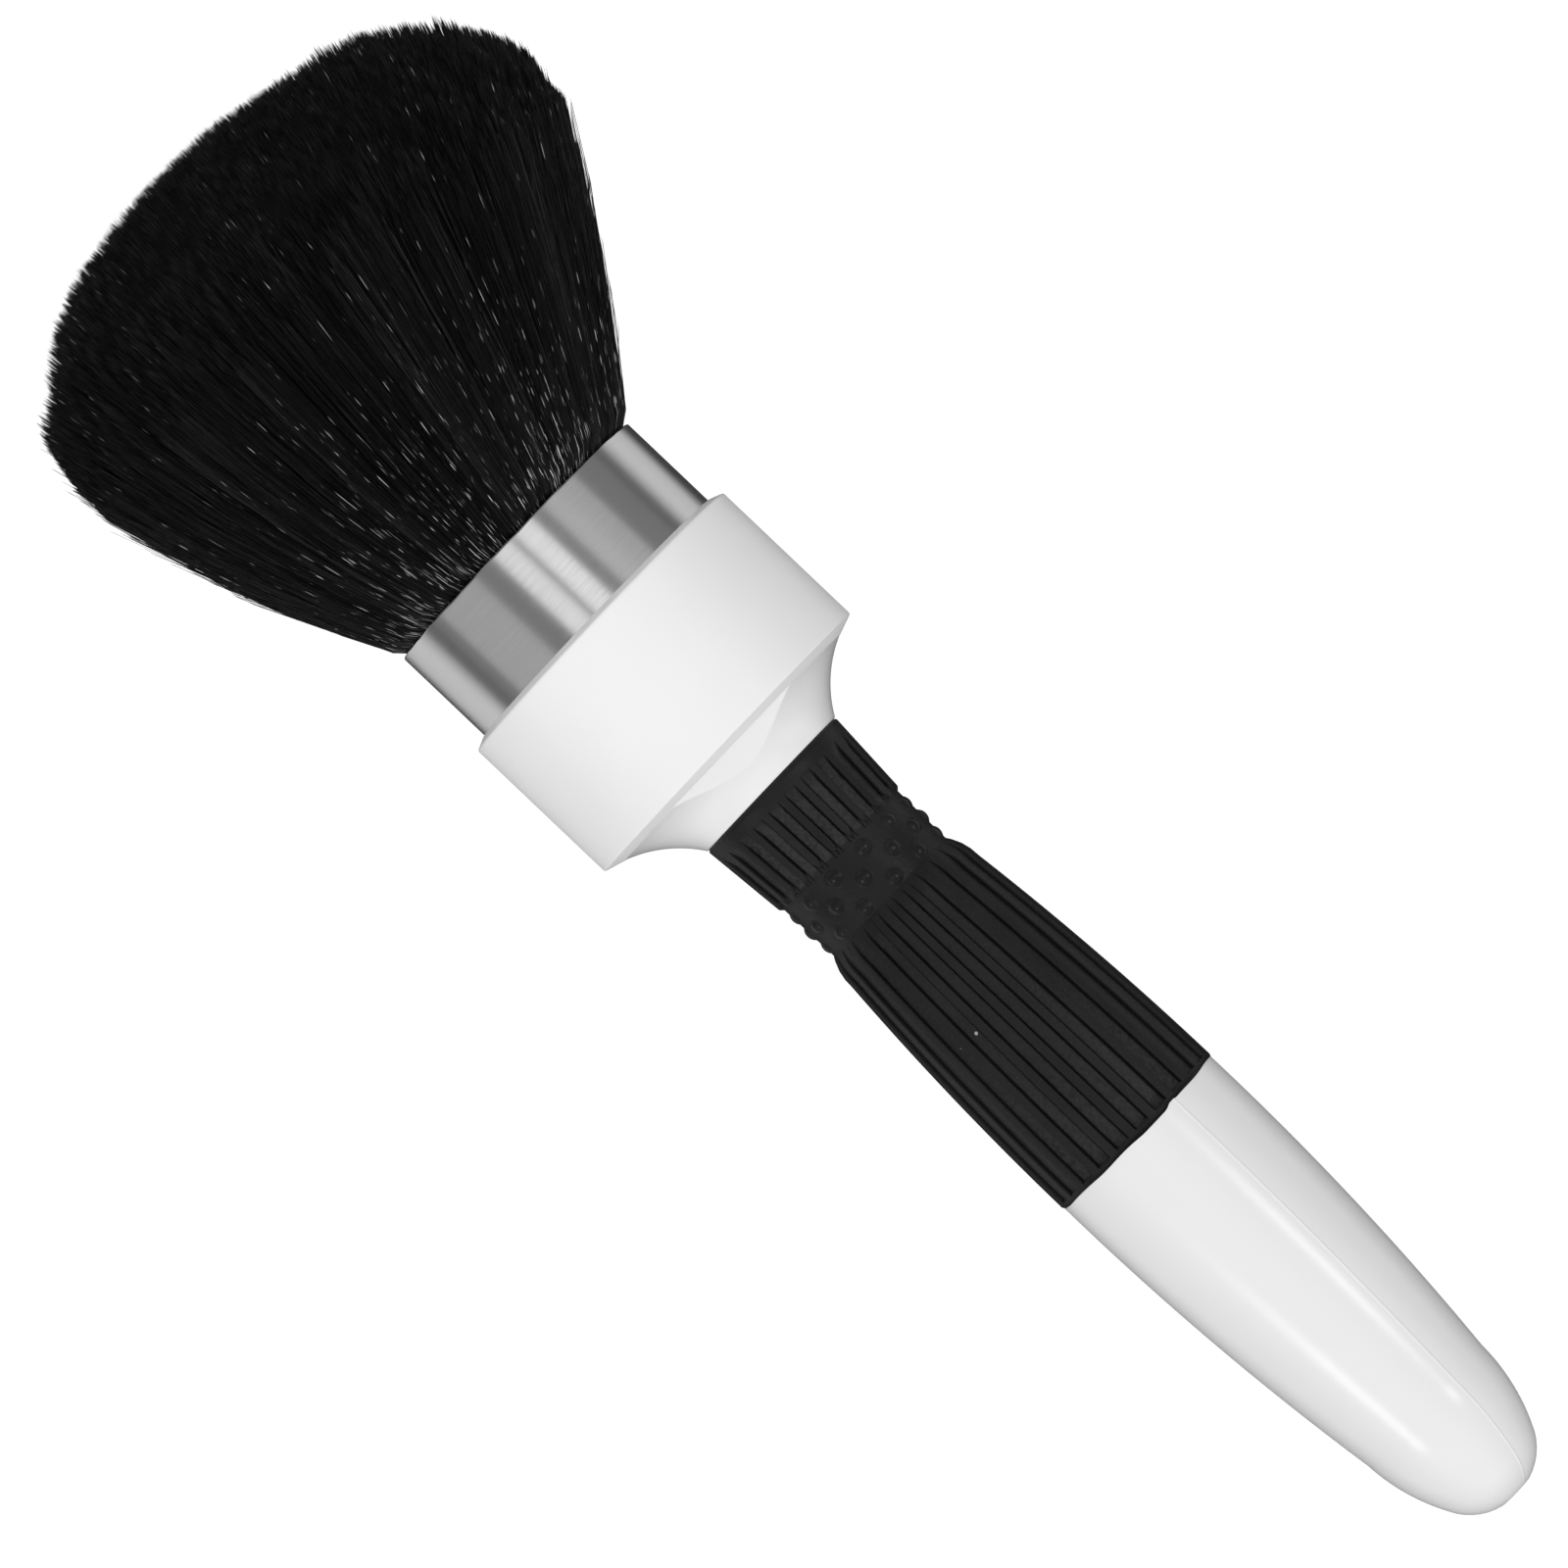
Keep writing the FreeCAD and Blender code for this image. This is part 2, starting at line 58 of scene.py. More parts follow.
def brushPoint(x, y, z):
    return layDown @ Vector((x * mm, y * mm, z * mm))


def smoothStep(low, high, value):
    t = np.clip((value - low) / (high - low), 0, 1)
    return t * t * (3 - 2 * t)


# shader helpers

def plug(tree, value, socket):  # a socket is wired in, anything else is set
    if isinstance(value, bpy.types.NodeSocket):
        tree.links.new(value, socket)
    else:
        socket.default_value = value


def addNode(tree, kind, wires=None, **settings):
    node = tree.nodes.new("ShaderNode" + kind)
    for key, value in settings.items():
        setattr(node, key, value)
    for key, value in (wires or {}).items():
        plug(tree, value, node.inputs[key])
    return node


def maths(tree, operation, *values):
    return addNode(tree, "Math", dict(enumerate(values)), operation=operation).outputs[0]


def remap(tree, value, start=0.0, end=1.0, low=0.0, high=1.0):
    return addNode(tree, "MapRange", {"Value": value, "From Min": start, "From Max": end,
                                      "To Min": low, "To Max": high}).outputs["Result"]


def noise(tree, place, **facts):
    return addNode(tree, "TexNoise", {"Vector": place, **facts}).outputs["Fac"]


def ownPlace(tree):
    return addNode(tree, "TexCoord").outputs["Object"]


def markOf(tree, label):
    return addNode(tree, "Attribute", attribute_name=label).outputs["Fac"]


def blend(tree, factor, first, second):
    mix = tree.nodes.new("ShaderNodeMix")
    mix.data_type = "RGBA"
    for place, value in ((0, factor), (6, first), (7, second)):  # the colour sockets of a mix
        plug(tree, value, mix.inputs[place])
    return mix.outputs[2]


def feed(tree, sockets, **wires):
    for key, socket in wires.items():
        tree.links.new(socket, sockets[key.replace("_", " ")])


def makeGroup(name, takes, gives):
    group = bpy.data.node_groups.new(name, "ShaderNodeTree")
    for label, kind, value in takes:
        socket = group.interface.new_socket(name=label, in_out="INPUT", socket_type="NodeSocket" + kind)
        socket.default_value = value
    for label, kind in gives:
        group.interface.new_socket(name=label, in_out="OUTPUT", socket_type="NodeSocket" + kind)
    return group, group.nodes.new("NodeGroupInput").outputs, group.nodes.new("NodeGroupOutput").inputs


def useGroup(tree, group, **wires):
    named = {key.replace("_", " "): value for key, value in wires.items()}
    return addNode(tree, "Group", named, node_tree=group).outputs


def newMaterial(name, **fixed):
    material = bpy.data.materials.new(name)
    material.use_nodes = True
    tree = material.node_tree
    shader = tree.nodes["Principled BSDF"]
    for key, value in fixed.items():
        shader.inputs[key.replace("_", " ")].default_value = value
    return material, tree, shader


def bumpInto(tree, shader, height, depth, strength=1.0):  # depth in metres
    bump = addNode(tree, "Bump", {"Strength": strength, "Distance": depth, "Height": height})
    feed(tree, shader.inputs, Normal=bump.outputs["Normal"])


# shared effects, each one built once

def buildMouldedSkin():  # cloudy colour and gloss over a fine grain
    group, take, give = makeGroup(
        "mouldedSkin",
        [("Colour", "Color", (0.8, 0.8, 0.8, 1)), ("Shade", "Color", (0.7, 0.7, 0.7, 1)),
         ("Grain Scale", "Float", 900.0), ("Cloud Scale", "Float", 60.0),
         ("Roughness Low", "Float", 0.3), ("Roughness High", "Float", 0.4)],
        [("Colour", "Color"), ("Roughness", "Float"), ("Height", "Float")])
    place = ownPlace(group)
    cloud = noise(group, place, Scale=take["Cloud Scale"], Detail=3.0)
    grain = noise(group, place, Scale=take["Grain Scale"], Detail=4.0, Roughness=0.55)
    tint = blend(group, remap(group, cloud, 0.3, 0.7), take["Colour"], take["Shade"])
    rough = remap(group, cloud, 0.25, 0.75, take["Roughness Low"], take["Roughness High"])
    feed(group, give, Colour=tint, Roughness=rough, Height=grain)
    return group


def buildDustSpecks():  # round specks in a few of many small cells
    group, take, give = makeGroup(
        "dustSpecks",
        [("Scale", "Float", 250.0), ("Amount", "Float", 0.05), ("Size", "Float", 0.06)],
        [("Mask", "Float")])
    cells = addNode(group, "TexVoronoi", {"Vector": ownPlace(group), "Scale": take["Scale"]})
    lot = addNode(group, "SeparateColor", {"Color": cells.outputs["Color"]}).outputs["Red"]
    near = maths(group, "LESS_THAN", cells.outputs["Distance"], take["Size"])
    few = maths(group, "LESS_THAN", lot, take["Amount"])
    feed(group, give, Mask=maths(group, "MULTIPLY", near, few))
    return group


def buildBrushedLines():  # fine lines drawn out round the axis
    group, take, give = makeGroup(
        "brushedLines",
        [("Across", "Float", 9000.0), ("Lengthwise", "Float", 120.0),
         ("Roughness Low", "Float", 0.1), ("Roughness High", "Float", 0.2)],
        [("Roughness", "Float"), ("Height", "Float")])
    stretch = addNode(group, "CombineXYZ", {"X": take["Across"], "Y": take["Lengthwise"],
                                            "Z": take["Lengthwise"]})
    spread = addNode(group, "VectorMath", {0: ownPlace(group), 1: stretch.outputs[0]}, operation="MULTIPLY")
    lines = noise(group, spread.outputs[0], Scale=1.0, Detail=3.0)
    rough = remap(group, lines, 0.3, 0.7, take["Roughness Low"], take["Roughness High"])
    feed(group, give, Roughness=rough, Height=lines)
    return group


mouldedSkin = buildMouldedSkin()
dustSpecks = buildDustSpecks()
brushedLines = buildBrushedLines()


def speckMask(tree, specks):  # specks: cells a metre, share of cells that hold one, size in a cell
    scale, amount, size = specks
    return useGroup(tree, dustSpecks, Scale=scale, Amount=amount, Size=size)["Mask"]


def skinOf(tree, f, **scales):
    return useGroup(tree, mouldedSkin, Colour=f["colour"], Shade=f["shade"],
                    Roughness_Low=f["roughness"][0], Roughness_High=f["roughness"][1], **scales)


# mesh helpers

def meshFrom(name, points, quads, triangles=()):
    quads = np.asarray(quads, np.int32).reshape(-1, 4)
    triangles = np.asarray(triangles, np.int32).reshape(-1, 3)
    mesh = bpy.data.meshes.new(name)
    mesh.vertices.add(len(points))
    mesh.vertices.foreach_set("co", (np.asarray(points, np.float32) * mm).ravel())
    corners = np.concatenate([quads.ravel(), triangles.ravel()])
    mesh.loops.add(len(corners))
    mesh.loops.foreach_set("vertex_index", corners)
    starts = np.concatenate([np.arange(len(quads)) * 4, len(quads) * 4 + np.arange(len(triangles)) * 3])
    mesh.polygons.add(len(starts))
    mesh.polygons.foreach_set("loop_start", starts.astype(np.int32))
    mesh.update(calc_edges=True)
    mesh.shade_smooth()
    return mesh


def ringMesh(name, rings, ends=None):  # without end points the last ring joins the first
    count, around = rings.shape[:2]
    index = np.arange(count * around).reshape(count, around)
    lower, upper = (index, np.roll(index, -1, 0)) if ends is None else (index[:-1], index[1:])
    quads = np.stack([lower, upper, np.roll(upper, -1, 1), np.roll(lower, -1, 1)], -1)
    points = rings.reshape(-1, 3)
    if ends is None:
        return meshFrom(name, points, quads)
    near, far = index[0], index[-1]
    fans = np.concatenate([
        np.stack([np.full(around, index.size), near, np.roll(near, -1)], -1),
        np.stack([np.full(around, index.size + 1), np.roll(far, -1), far], -1)])
    return meshFrom(name, np.vstack([points, ends]), quads, fans)


def turnedMesh(name, line, angles, shape=None, closed=True):  # an open line starts and ends on the axis
    x, turn = np.meshgrid(line[:, 0], angles, indexing="ij")
    radius = np.repeat(line[:, 1:], len(angles), 1)
    if shape:
        x, radius = shape(x, radius, turn)
    rings = np.stack([x, radius * np.sin(turn), radius * np.cos(turn)], -1)
    if closed:
        return ringMesh(name, rings)
    return ringMesh(name, rings[1:-1], [[line[0, 0], 0, 0], [line[-1, 0], 0, 0]])


def paintMarks(mesh, marks):
    for label, values in marks.items():
        layer = mesh.attributes.new(label, "FLOAT", "POINT")
        layer.data.foreach_set("value", values.ravel().astype(np.float32))


def layPiece(name, mesh, material, node):
    mesh.materials.append(material)
    piece = bpy.data.objects.new(name, mesh)
    bpy.context.collection.objects.link(piece)
    piece.matrix_world = layDown
    bpy.context.view_layer.update()
    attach(piece, "root")
    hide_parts(node)


def evenTurn(count):
    return np.arange(count) / count * fullTurn


def bendTo(start, end, radius, step):  # points after start up to end; radius 0 is straight, above 0 bulges out
    span = math.dist(start, end)
    count = max(1, round(span / step))
    ts = np.arange(1, count + 1)[:, None] / count
    a, b = np.array(start), np.array(end)
    if not radius:
        return a + (b - a) * ts
    normal = np.array([-(b - a)[1], (b - a)[0]]) / span * math.copysign(1, radius)
    reach = abs(radius)
    centre = (a + b) / 2 - normal * math.sqrt(reach * reach - span * span / 4)
    half = math.asin(span / 2 / reach)
    first = math.atan2(*(a - centre)[::-1])
    angles = first - math.copysign(2 * half, radius) * ts
    return centre + reach * np.hstack([np.cos(angles), np.sin(angles)])


cornerRound = {"steps": 5, "mostOfSide": 0.42, "guard": 1.25}  # guard points keep the shading flat beside it


def roundCorner(before, corner, after, rounding):
    inward, outward = corner - before, after - corner
    longIn, longOut = np.linalg.norm(inward), np.linalg.norm(outward)
    inward, outward = inward / longIn, outward / longOut
    turn = math.acos(np.clip(inward @ outward, -1, 1))
    most = cornerRound["mostOfSide"]
    cut = min(rounding * math.tan(turn / 2), most * longIn, most * longOut)
    rounding = cut / math.tan(turn / 2)
    side = np.sign(inward[0] * outward[1] - inward[1] * outward[0])
    normal = np.array([-inward[1], inward[0]]) * side
    middle = corner - inward * cut + normal * rounding
    line = [corner - inward * cut * cornerRound["guard"]]
    for k in range(cornerRound["steps"] + 1):
        angle = turn * k / cornerRound["steps"]
        line.append(middle + rounding * (math.sin(angle) * inward - math.cos(angle) * normal))
    return [*line, corner + outward * cut * cornerRound["guard"]]


def sectionLine(corners, step, closed=True):  # corners: x, radius, rounding, bulge of the side that follows
    corners = [(*corner, 0, 0)[:4] for corner in corners]
    count = len(corners)
    runs = []
    for i in range(count if closed else count - 1):
        here, there = corners[i], corners[(i + 1) % count]
        runs.append(np.vstack([[here[:2]], bendTo(here[:2], there[:2], here[3], step)]))
    line = []
    for i, (x, radius, rounding, _) in enumerate(corners):
        corner = np.array((x, radius), float)
        if rounding and (closed or 0 < i < count - 1):
            line.extend(roundCorner(runs[i - 1][-2], corner, runs[i][1], rounding))
        else:
            line.append(corner)
        if closed or i < count - 1:
            line.extend(runs[i][1:-1])
    return np.array(line)


# ferrule: a thin polished aluminium band

ferruleFacts = {
    "radius": 18.0, "wall": 0.7, "mouth": -22.8, "end": 7.2, "lip": 0.22, "step": 1.2, "sides": 288,
    "ripples": ((1.0, 3, 0.0, 0.13), (0.6, 7, 1.3, -0.21), (0.4, 13, 0.0, 0.4)), "rippleHeight": 0.003,
    "lipWaves": ((0.03, 11, 0.7, 0), (0.02, 31, 0, 0)), "lipWidth": 1.5,
    "colour": (0.86, 0.86, 0.865, 1), "roughness": (0.17, 0.21), "lines": (5200.0, 160.0),
    "lineDepth": 0.0000015, "specks": (420.0, 0.05, 0.16), "speckDulls": 0.35,
}


def waves(facts, turn, x):  # each wave: size, times round, start, drift along x
    return sum(size * np.sin(times * turn + start + drift * x) for size, times, start, drift in facts)


def makeFerrule():
    f = ferruleFacts
    material, tree, shader = newMaterial("polishedBand", Base_Color=f["colour"], Metallic=1.0)
    lines = useGroup(tree, brushedLines, Across=f["lines"][0], Lengthwise=f["lines"][1],
                     Roughness_Low=f["roughness"][0], Roughness_High=f["roughness"][1])
    dull = maths(tree, "MULTIPLY_ADD", speckMask(tree, f["specks"]), f["speckDulls"], lines["Roughness"])
    feed(tree, shader.inputs, Roughness=dull)
    bumpInto(tree, shader, lines["Height"], f["lineDepth"])
    inner = f["radius"] - f["wall"]
    line = sectionLine([(f["mouth"], f["radius"], f["lip"]), (f["end"], f["radius"], 0.1),
                        (f["end"], inner, 0.1), (f["mouth"], inner, 0.2)], f["step"])

    def ripple(x, radius, turn):  # rolled sheet is never quite round
        nearLip = smoothStep(f["mouth"] + f["lipWidth"], f["mouth"], x)
        return (x + nearLip * waves(f["lipWaves"], turn, x),
                radius + f["rippleHeight"] * waves(f["ripples"], turn, x))

    layPiece("ferrule_band", turnedMesh("ferrule_band", line, evenTurn(f["sides"]), ripple), material,
             "ferrule")


# white plastic, for the drum, the neck and the tail

whiteFacts = {
    "coatRoughness": 0.08, "grain": 900.0,
    "specks": (210.0, 0.035, 0.045), "speckStrength": 0.35, "speckColour": (0.3, 0.3, 0.29, 1),
}


def whitePlastic(name, f):
    w = whiteFacts
    material, tree, shader = newMaterial(name, Coat_Weight=f["coat"], Coat_Roughness=w["coatRoughness"])
    skin = skinOf(tree, f, Grain_Scale=w["grain"])
    dim = maths(tree, "MULTIPLY", speckMask(tree, w["specks"]), w["speckStrength"])
    feed(tree, shader.inputs, Base_Color=blend(tree, dim, skin["Colour"], w["speckColour"]),
         Roughness=skin["Roughness"])
    bumpInto(tree, shader, skin["Height"], f["grainDepth"])
    return material


# drum: the white cup that the ferrule is pressed into

drumFacts = {
    "bore": 18.05, "radius": 19.75, "front": -10.4, "back": 10.4, "floor": 7.2, "hole": 1.9,
    "frontLip": 18.3, "backLip": 17.3, "frontDraft": 0.6, "backDraft": 0.8, "step": 1.2, "sides": 256,
    "colour": (0.76, 0.76, 0.76, 1), "shade": (0.74, 0.74, 0.74, 1), "roughness": (0.40, 0.46),
    "coat": 0.0, "grainDepth": 0.00001,
}


def makeDrum():
    f = drumFacts
    front, back = f["front"], f["back"]
    line = sectionLine([
        (front, f["bore"], 0.12), (front, f["frontLip"], 0.2), (front + f["frontDraft"], f["radius"], 0.35),
        (back - f["backDraft"], f["radius"], 0.30), (back, f["backLip"], 0.2), (back, f["hole"], 0.1),
        (f["floor"], f["hole"], 0.1), (f["floor"], f["bore"], 0.3)], f["step"])
    layPiece("collar_drum", turnedMesh("collar_drum", line, evenTurn(f["sides"])),
             whitePlastic("satinWhite", f), "collar_cup")


# neck: glossy white plug whose flare meets the drum, with a scoop on two sides

neckFacts = {
    "flare": 17.2, "flareBulge": -14.6, "front": 10.4, "grip": 16.3, "gripRadius": 10.27,
    "stem": 8.0, "stemEnd": 84.0, "bore": 5.6, "boreTop": 28.0, "pilot": 1.6, "pilotDepth": 15.4,
    "flareStep": 0.2, "stemStep": 2.0, "scoopHalf": 40, "scoopStep": 0.5, "sideStep": 4.0,
    # how far the scoop's flat lies from the axis, by x
    "scoop": ((10.0, 14.7), (10.4, 14.45), (11.7, 13.6), (13.0, 12.95), (14.3, 12.4), (16.0, 12.0)),
    "scoopEdge": 0.08, "scoopFade": (1.2, 2.4), "scoopInner": 10.0,
    "colour": (0.755, 0.755, 0.755, 1), "shade": (0.74, 0.74, 0.74, 1), "roughness": (0.16, 0.22),
    "coat": 0.3, "grainDepth": 0.000006,
}


def makeNeck():
    f = neckFacts
    # pilot hole from the drum side is closed off inside, the long bore opens at the stem's end
    flare = sectionLine([(f["front"], f["pilot"]), (f["front"], f["flare"], 0.10, f["flareBulge"]),
                         (f["grip"], f["gripRadius"])], f["flareStep"], closed=False)
    stem = sectionLine([
        (f["grip"] + 0.02, f["stem"]), (f["stemEnd"], f["stem"], 0.4), (f["stemEnd"], f["bore"], 0.2),
        (f["boreTop"], f["bore"], 0.5), (f["boreTop"], 0)], f["stemStep"], closed=False)
    pilotEnd = f["pilotDepth"] + f["front"]
    line = np.vstack([[(pilotEnd, 0), (pilotEnd, f["pilot"])], flare, stem])
    fine = np.radians(np.arange(-f["scoopHalf"], f["scoopHalf"], f["scoopStep"]))
    wide = np.radians(np.arange(f["scoopHalf"], 180 - f["scoopHalf"], f["sideStep"]))
    angles = np.concatenate([fine, wide, fine + np.pi, wide + np.pi])
    xs, depths = np.array(f["scoop"]).T
    fadeEnd, fadeStart = (f["grip"] - away for away in f["scoopFade"])

    def scoop(x, radius, turn):
        flat = np.interp(x, xs, depths) / np.maximum(np.abs(np.cos(turn)), 0.2)
        gap = radius - flat
        soft = 0.5 * (radius + flat - np.sqrt(gap * gap + f["scoopEdge"] ** 2))
        onFlare = (x > f["front"] - 0.01) & (x < f["grip"]) & (radius > f["scoopInner"])
        return x, np.where(onFlare, radius + (soft - radius) * smoothStep(fadeEnd, fadeStart, x), radius)

    layPiece("neck_flare", turnedMesh("neck_flare", line, angles, scoop, closed=False),
             whitePlastic("glossyWhiteNeck", f), "neck_core")


# grip: soft black sleeve with ribs, a waist of nubs and long ribs

gripFacts = {
    "start": 16.3, "end": 72.2, "inner": 8.02, "turn": -2.5, "pitch": 15.0, "count": 24,
    # x, radius and the bulge of the side that follows
    "line": ((16.3, 10.27, 0), (26.6, 9.54, 0), (27.0, 9.13, 0), (34.4, 9.02, 6.3), (38.2, 10.15, 361.0),
             (72.2, 11.84, 0)), "lineStep": 0.2,
    # mesh rows: runs of x from, to and step; distances in from each end; each side of a panel's end
    "rows": ((19.0, 25.0, 0.8), (25.2, 27.0, 0.12), (27.0, 34.2, 0.15), (35.0, 70.8, 1.1)),
    "startRows": (0, 0.03, 0.08, 0.16, 0.3, 0.8, 1.3), "endRows": (0, 0.03, 0.08, 0.16, 0.3),
    "panelRows": (-0.3, -0.15, -0.05, 0.05, 0.15, 0.3),
    # panels sink between the ribs, by degrees off the middle of a rib
    "columns": (0, 1.2, 2.1, 2.55, 2.8, 3.0, 3.2, 3.45, 3.75, 4.6, 5.9),
    "panels": ((18.1, 27.3), (34.5, 71.7)), "ramps": (1.8, 3.0), "wall": 0.25, "depth": 0.42,
    "ribSide": (2.6, 3.15), "ribNose": (25.3, 26.7), "waist": 9.125, "waistEnd": 30.0,
    # the crease mark's place and width, and the hem's fold distances, also set painted shade: dark lines in the
    # creases beside the ribs and over the hem's fold
    "crease": 0.55, "creaseAt": 3.25, "creaseShadeAt": 3.1, "creaseWidth": 0.22,
    "nubRows": (28.55, 30.9, 33.25), "nubRadius": 0.95, "nubHeight": 0.45, "nubRoughness": 0.27,
    "endRound": (0.25, 0.3), "hemShadeAt": (0.5, 0.25),
    # the hem: how far it waves, and by degrees round, one long tongue and one notch
    "hemWidth": 0.6, "hemMost": (-0.2, 0.5), "hemWave": (0.25, 0.10, 9),
    "tongue": (0.35, 13), "notch": (0.3, 25, 3),
    # how grey the panels look: the long ones by x, and how much one differs from the next
    "greyLow": 0.2, "greyRise": 0.5, "greyRun": (50, 70), "greyFrom": (3.2, 3.75), "greyDiffers": (0.75, 0.25),
    "colour": (0.0075, 0.0075, 0.008, 1), "shade": (0.011, 0.011, 0.0115, 1), "roughness": (0.40, 0.55),
    # the crease colour is painted shade, laid in the creases beside the ribs and over the hem's fold
    "panelColour": (0.027, 0.027, 0.0273, 1), "paintedCreaseShade": (0.001, 0.001, 0.001, 1), "gloss": 0.35,
    "grain": 1500.0, "cloud": 180.0, "leather": 2400.0, "leatherWear": (1.35, 0.25), "leatherHeight": 0.7,
    "grainDepth": 0.00006, "bump": 0.6, "specks": (330.0, 0.05, 0.07), "speckColour": (0.30, 0.30, 0.30, 1),
}


def gripLine():
    f = gripFacts
    outline = [np.array([f["line"][0][:2]])]
    for here, there in zip(f["line"], f["line"][1:]):
        outline.append(bendTo(here[:2], there[:2], here[2], f["lineStep"]))
    outline = np.vstack(outline)
    rows = [f["start"] + d for d in f["startRows"]] + [f["end"] - d for d in f["endRows"]]
    rows += [end + d for panel in f["panels"] for end in panel for d in f["panelRows"]]
    rows = np.concatenate([rows, *(np.arange(*run) for run in f["rows"])])
    rows = np.unique(np.round(rows, 3))
    radii = np.interp(rows, outline[:, 0], outline[:, 1])
    return np.vstack([np.column_stack([rows, radii]),
                      [(f["end"], f["inner"]), (50.0, f["inner"]), (f["start"], f["inner"])]])


def nubLift(x, radius, turn):
    f = gripFacts
    lift = np.zeros_like(x)
    for row, place in enumerate(f["nubRows"]):
        first = f["turn"] + (0 if row == 1 else f["pitch"])  # the middle row is staggered
        away = (np.degrees(turn) - first + f["pitch"]) % (2 * f["pitch"]) - f["pitch"]
        far = np.hypot(x - place, np.radians(away) * radius) / f["nubRadius"]
        lift += f["nubHeight"] * np.clip(1 - far * far, 0, 1) ** 0.75
    return lift


def gripHem(x, turn):  # the sleeve's end is cut a little unevenly
    f = gripFacts
    mean, wave, times = f["hemWave"]
    (tongueLength, tongueAt), (notchDepth, notchAt, notchWidth) = f["tongue"], f["notch"]
    tongue = tongueLength * np.cos(turn - math.radians(tongueAt)) ** 8
    notch = notchDepth * np.exp(-((np.degrees(turn) - notchAt) / notchWidth) ** 2)
    nearEnd = smoothStep(f["end"] - f["hemWidth"], f["end"], x)
    return np.clip(nearEnd * (mean + wave * np.sin(times * turn) + tongue - notch), *f["hemMost"])


def gripMaterial():
    f = gripFacts
    material, tree, shader = newMaterial("softBlack", Specular_IOR_Level=f["gloss"])
    skin = skinOf(tree, f, Grain_Scale=f["grain"], Cloud_Scale=f["cloud"])
    leather = addNode(tree, "TexVoronoi", {"Vector": ownPlace(tree), "Scale": f["leather"]},
                      feature="SMOOTH_F1").outputs["Distance"]
    worn = remap(tree, leather, 0.1, 0.7, *f["leatherWear"])
    grainy = maths(tree, "MULTIPLY", markOf(tree, "panelMark"), worn)
    rubber = blend(tree, grainy, skin["Colour"], f["panelColour"])
    # painted shade: the crease colour darkens the creases beside the ribs and the hem's fold
    creaseShade = maths(tree, "MINIMUM", markOf(tree, "creaseShadeMark"), 1.0)
    creaseShaded = blend(tree, creaseShade, rubber, f["paintedCreaseShade"])
    dusty = blend(tree, speckMask(tree, f["specks"]), creaseShaded, f["speckColour"])
    polished = remap(tree, markOf(tree, "nubMark"), low=skin["Roughness"], high=f["nubRoughness"])
    feed(tree, shader.inputs, Base_Color=dusty, Roughness=polished)
    height = maths(tree, "MULTIPLY_ADD", leather, f["leatherHeight"], skin["Height"])
    bumpInto(tree, shader, height, f["grainDepth"], f["bump"])
    return material


def makeGrip():
    f = gripFacts
    columns = np.array(sorted({*f["columns"], *(-c for c in f["columns"]), f["pitch"] / 2}))
    angles = np.radians((f["turn"] + f["pitch"] * np.arange(f["count"])[:, None] + columns[None, :]).ravel())
    offset = np.tile(columns, f["count"])
    marks = {}

    def carve(x, radius, turn):
        across = np.abs(np.broadcast_to(offset, x.shape))
        upper = x < f["waistEnd"]
        panel = sum(np.clip((x - a) / ramp, 0, 1) ** 0.8 * smoothStep(b, b - f["wall"], x)
                    for (a, b), ramp in zip(f["panels"], f["ramps"]))
        noseStart, noseEnd = f["ribNose"]
        nose = np.clip((x - noseStart) / (noseEnd - noseStart), 0, 1)
        narrow = np.where(upper, np.sqrt(1 - nose ** 2), 1) + 0.001
        sideTop, sideFoot = (edge * narrow for edge in f["ribSide"])
        crease = f["crease"] * np.exp(-((across - f["creaseAt"]) / f["creaseWidth"]) ** 2)
        sunk = panel * (smoothStep(sideTop, sideFoot, across) + crease)
        toWaist = np.maximum(radius - f["waist"], 0) / f["depth"] + crease * panel
        sunk = np.where(upper, np.minimum(sunk, toWaist), sunk)  # upper panels stop level with the waist
        mean, differs = f["greyDiffers"]
        panelIndex = np.floor((np.degrees(turn) - f["turn"]) / f["pitch"])
        grey = np.where(upper, 1.0, f["greyLow"] + f["greyRise"] * smoothStep(*f["greyRun"], x))
        grey = grey * (mean + differs * np.sin(3.7 * panelIndex))  # 3.7 mixes up the order of the panels
        marks["panelMark"] = panel * smoothStep(*f["greyFrom"], across) * grey * ((x < noseEnd) | ~upper)
        # painted shade: a dark line in the crease beside each rib, and a dark band over the hem's fold
        inCreaseShade = np.exp(-((across - f["creaseShadeAt"] * narrow) / f["creaseWidth"]) ** 2)
        marks["creaseShadeMark"] = np.clip(panel * 3, 0, 1) * inCreaseShade
        hemShadeStart, hemShadeEnd = (f["end"] - away for away in f["hemShadeAt"])
        marks["creaseShadeMark"] += smoothStep(hemShadeStart, hemShadeEnd, x)
        lift = nubLift(x, radius, turn)
        marks["nubMark"] = smoothStep(0.2, 0.9, lift / f["nubHeight"])
        drop, run = f["endRound"]
        fullHeight = smoothStep(f["start"], f["start"] + run, x) * smoothStep(f["end"], f["end"] - run, x)
        outside = radius > f["inner"] + 0.5
        return (np.where(outside, x + gripHem(x, turn), x),
                np.where(outside, radius - f["depth"] * sunk + lift - drop * (1 - fullHeight), radius))

    mesh = turnedMesh("grip_cover", gripLine(), angles, carve)
    paintMarks(mesh, marks)
    layPiece("grip_cover", mesh, gripMaterial(), "grip_sleeve")


# tail: hollow glossy end cap with two fine mould lines

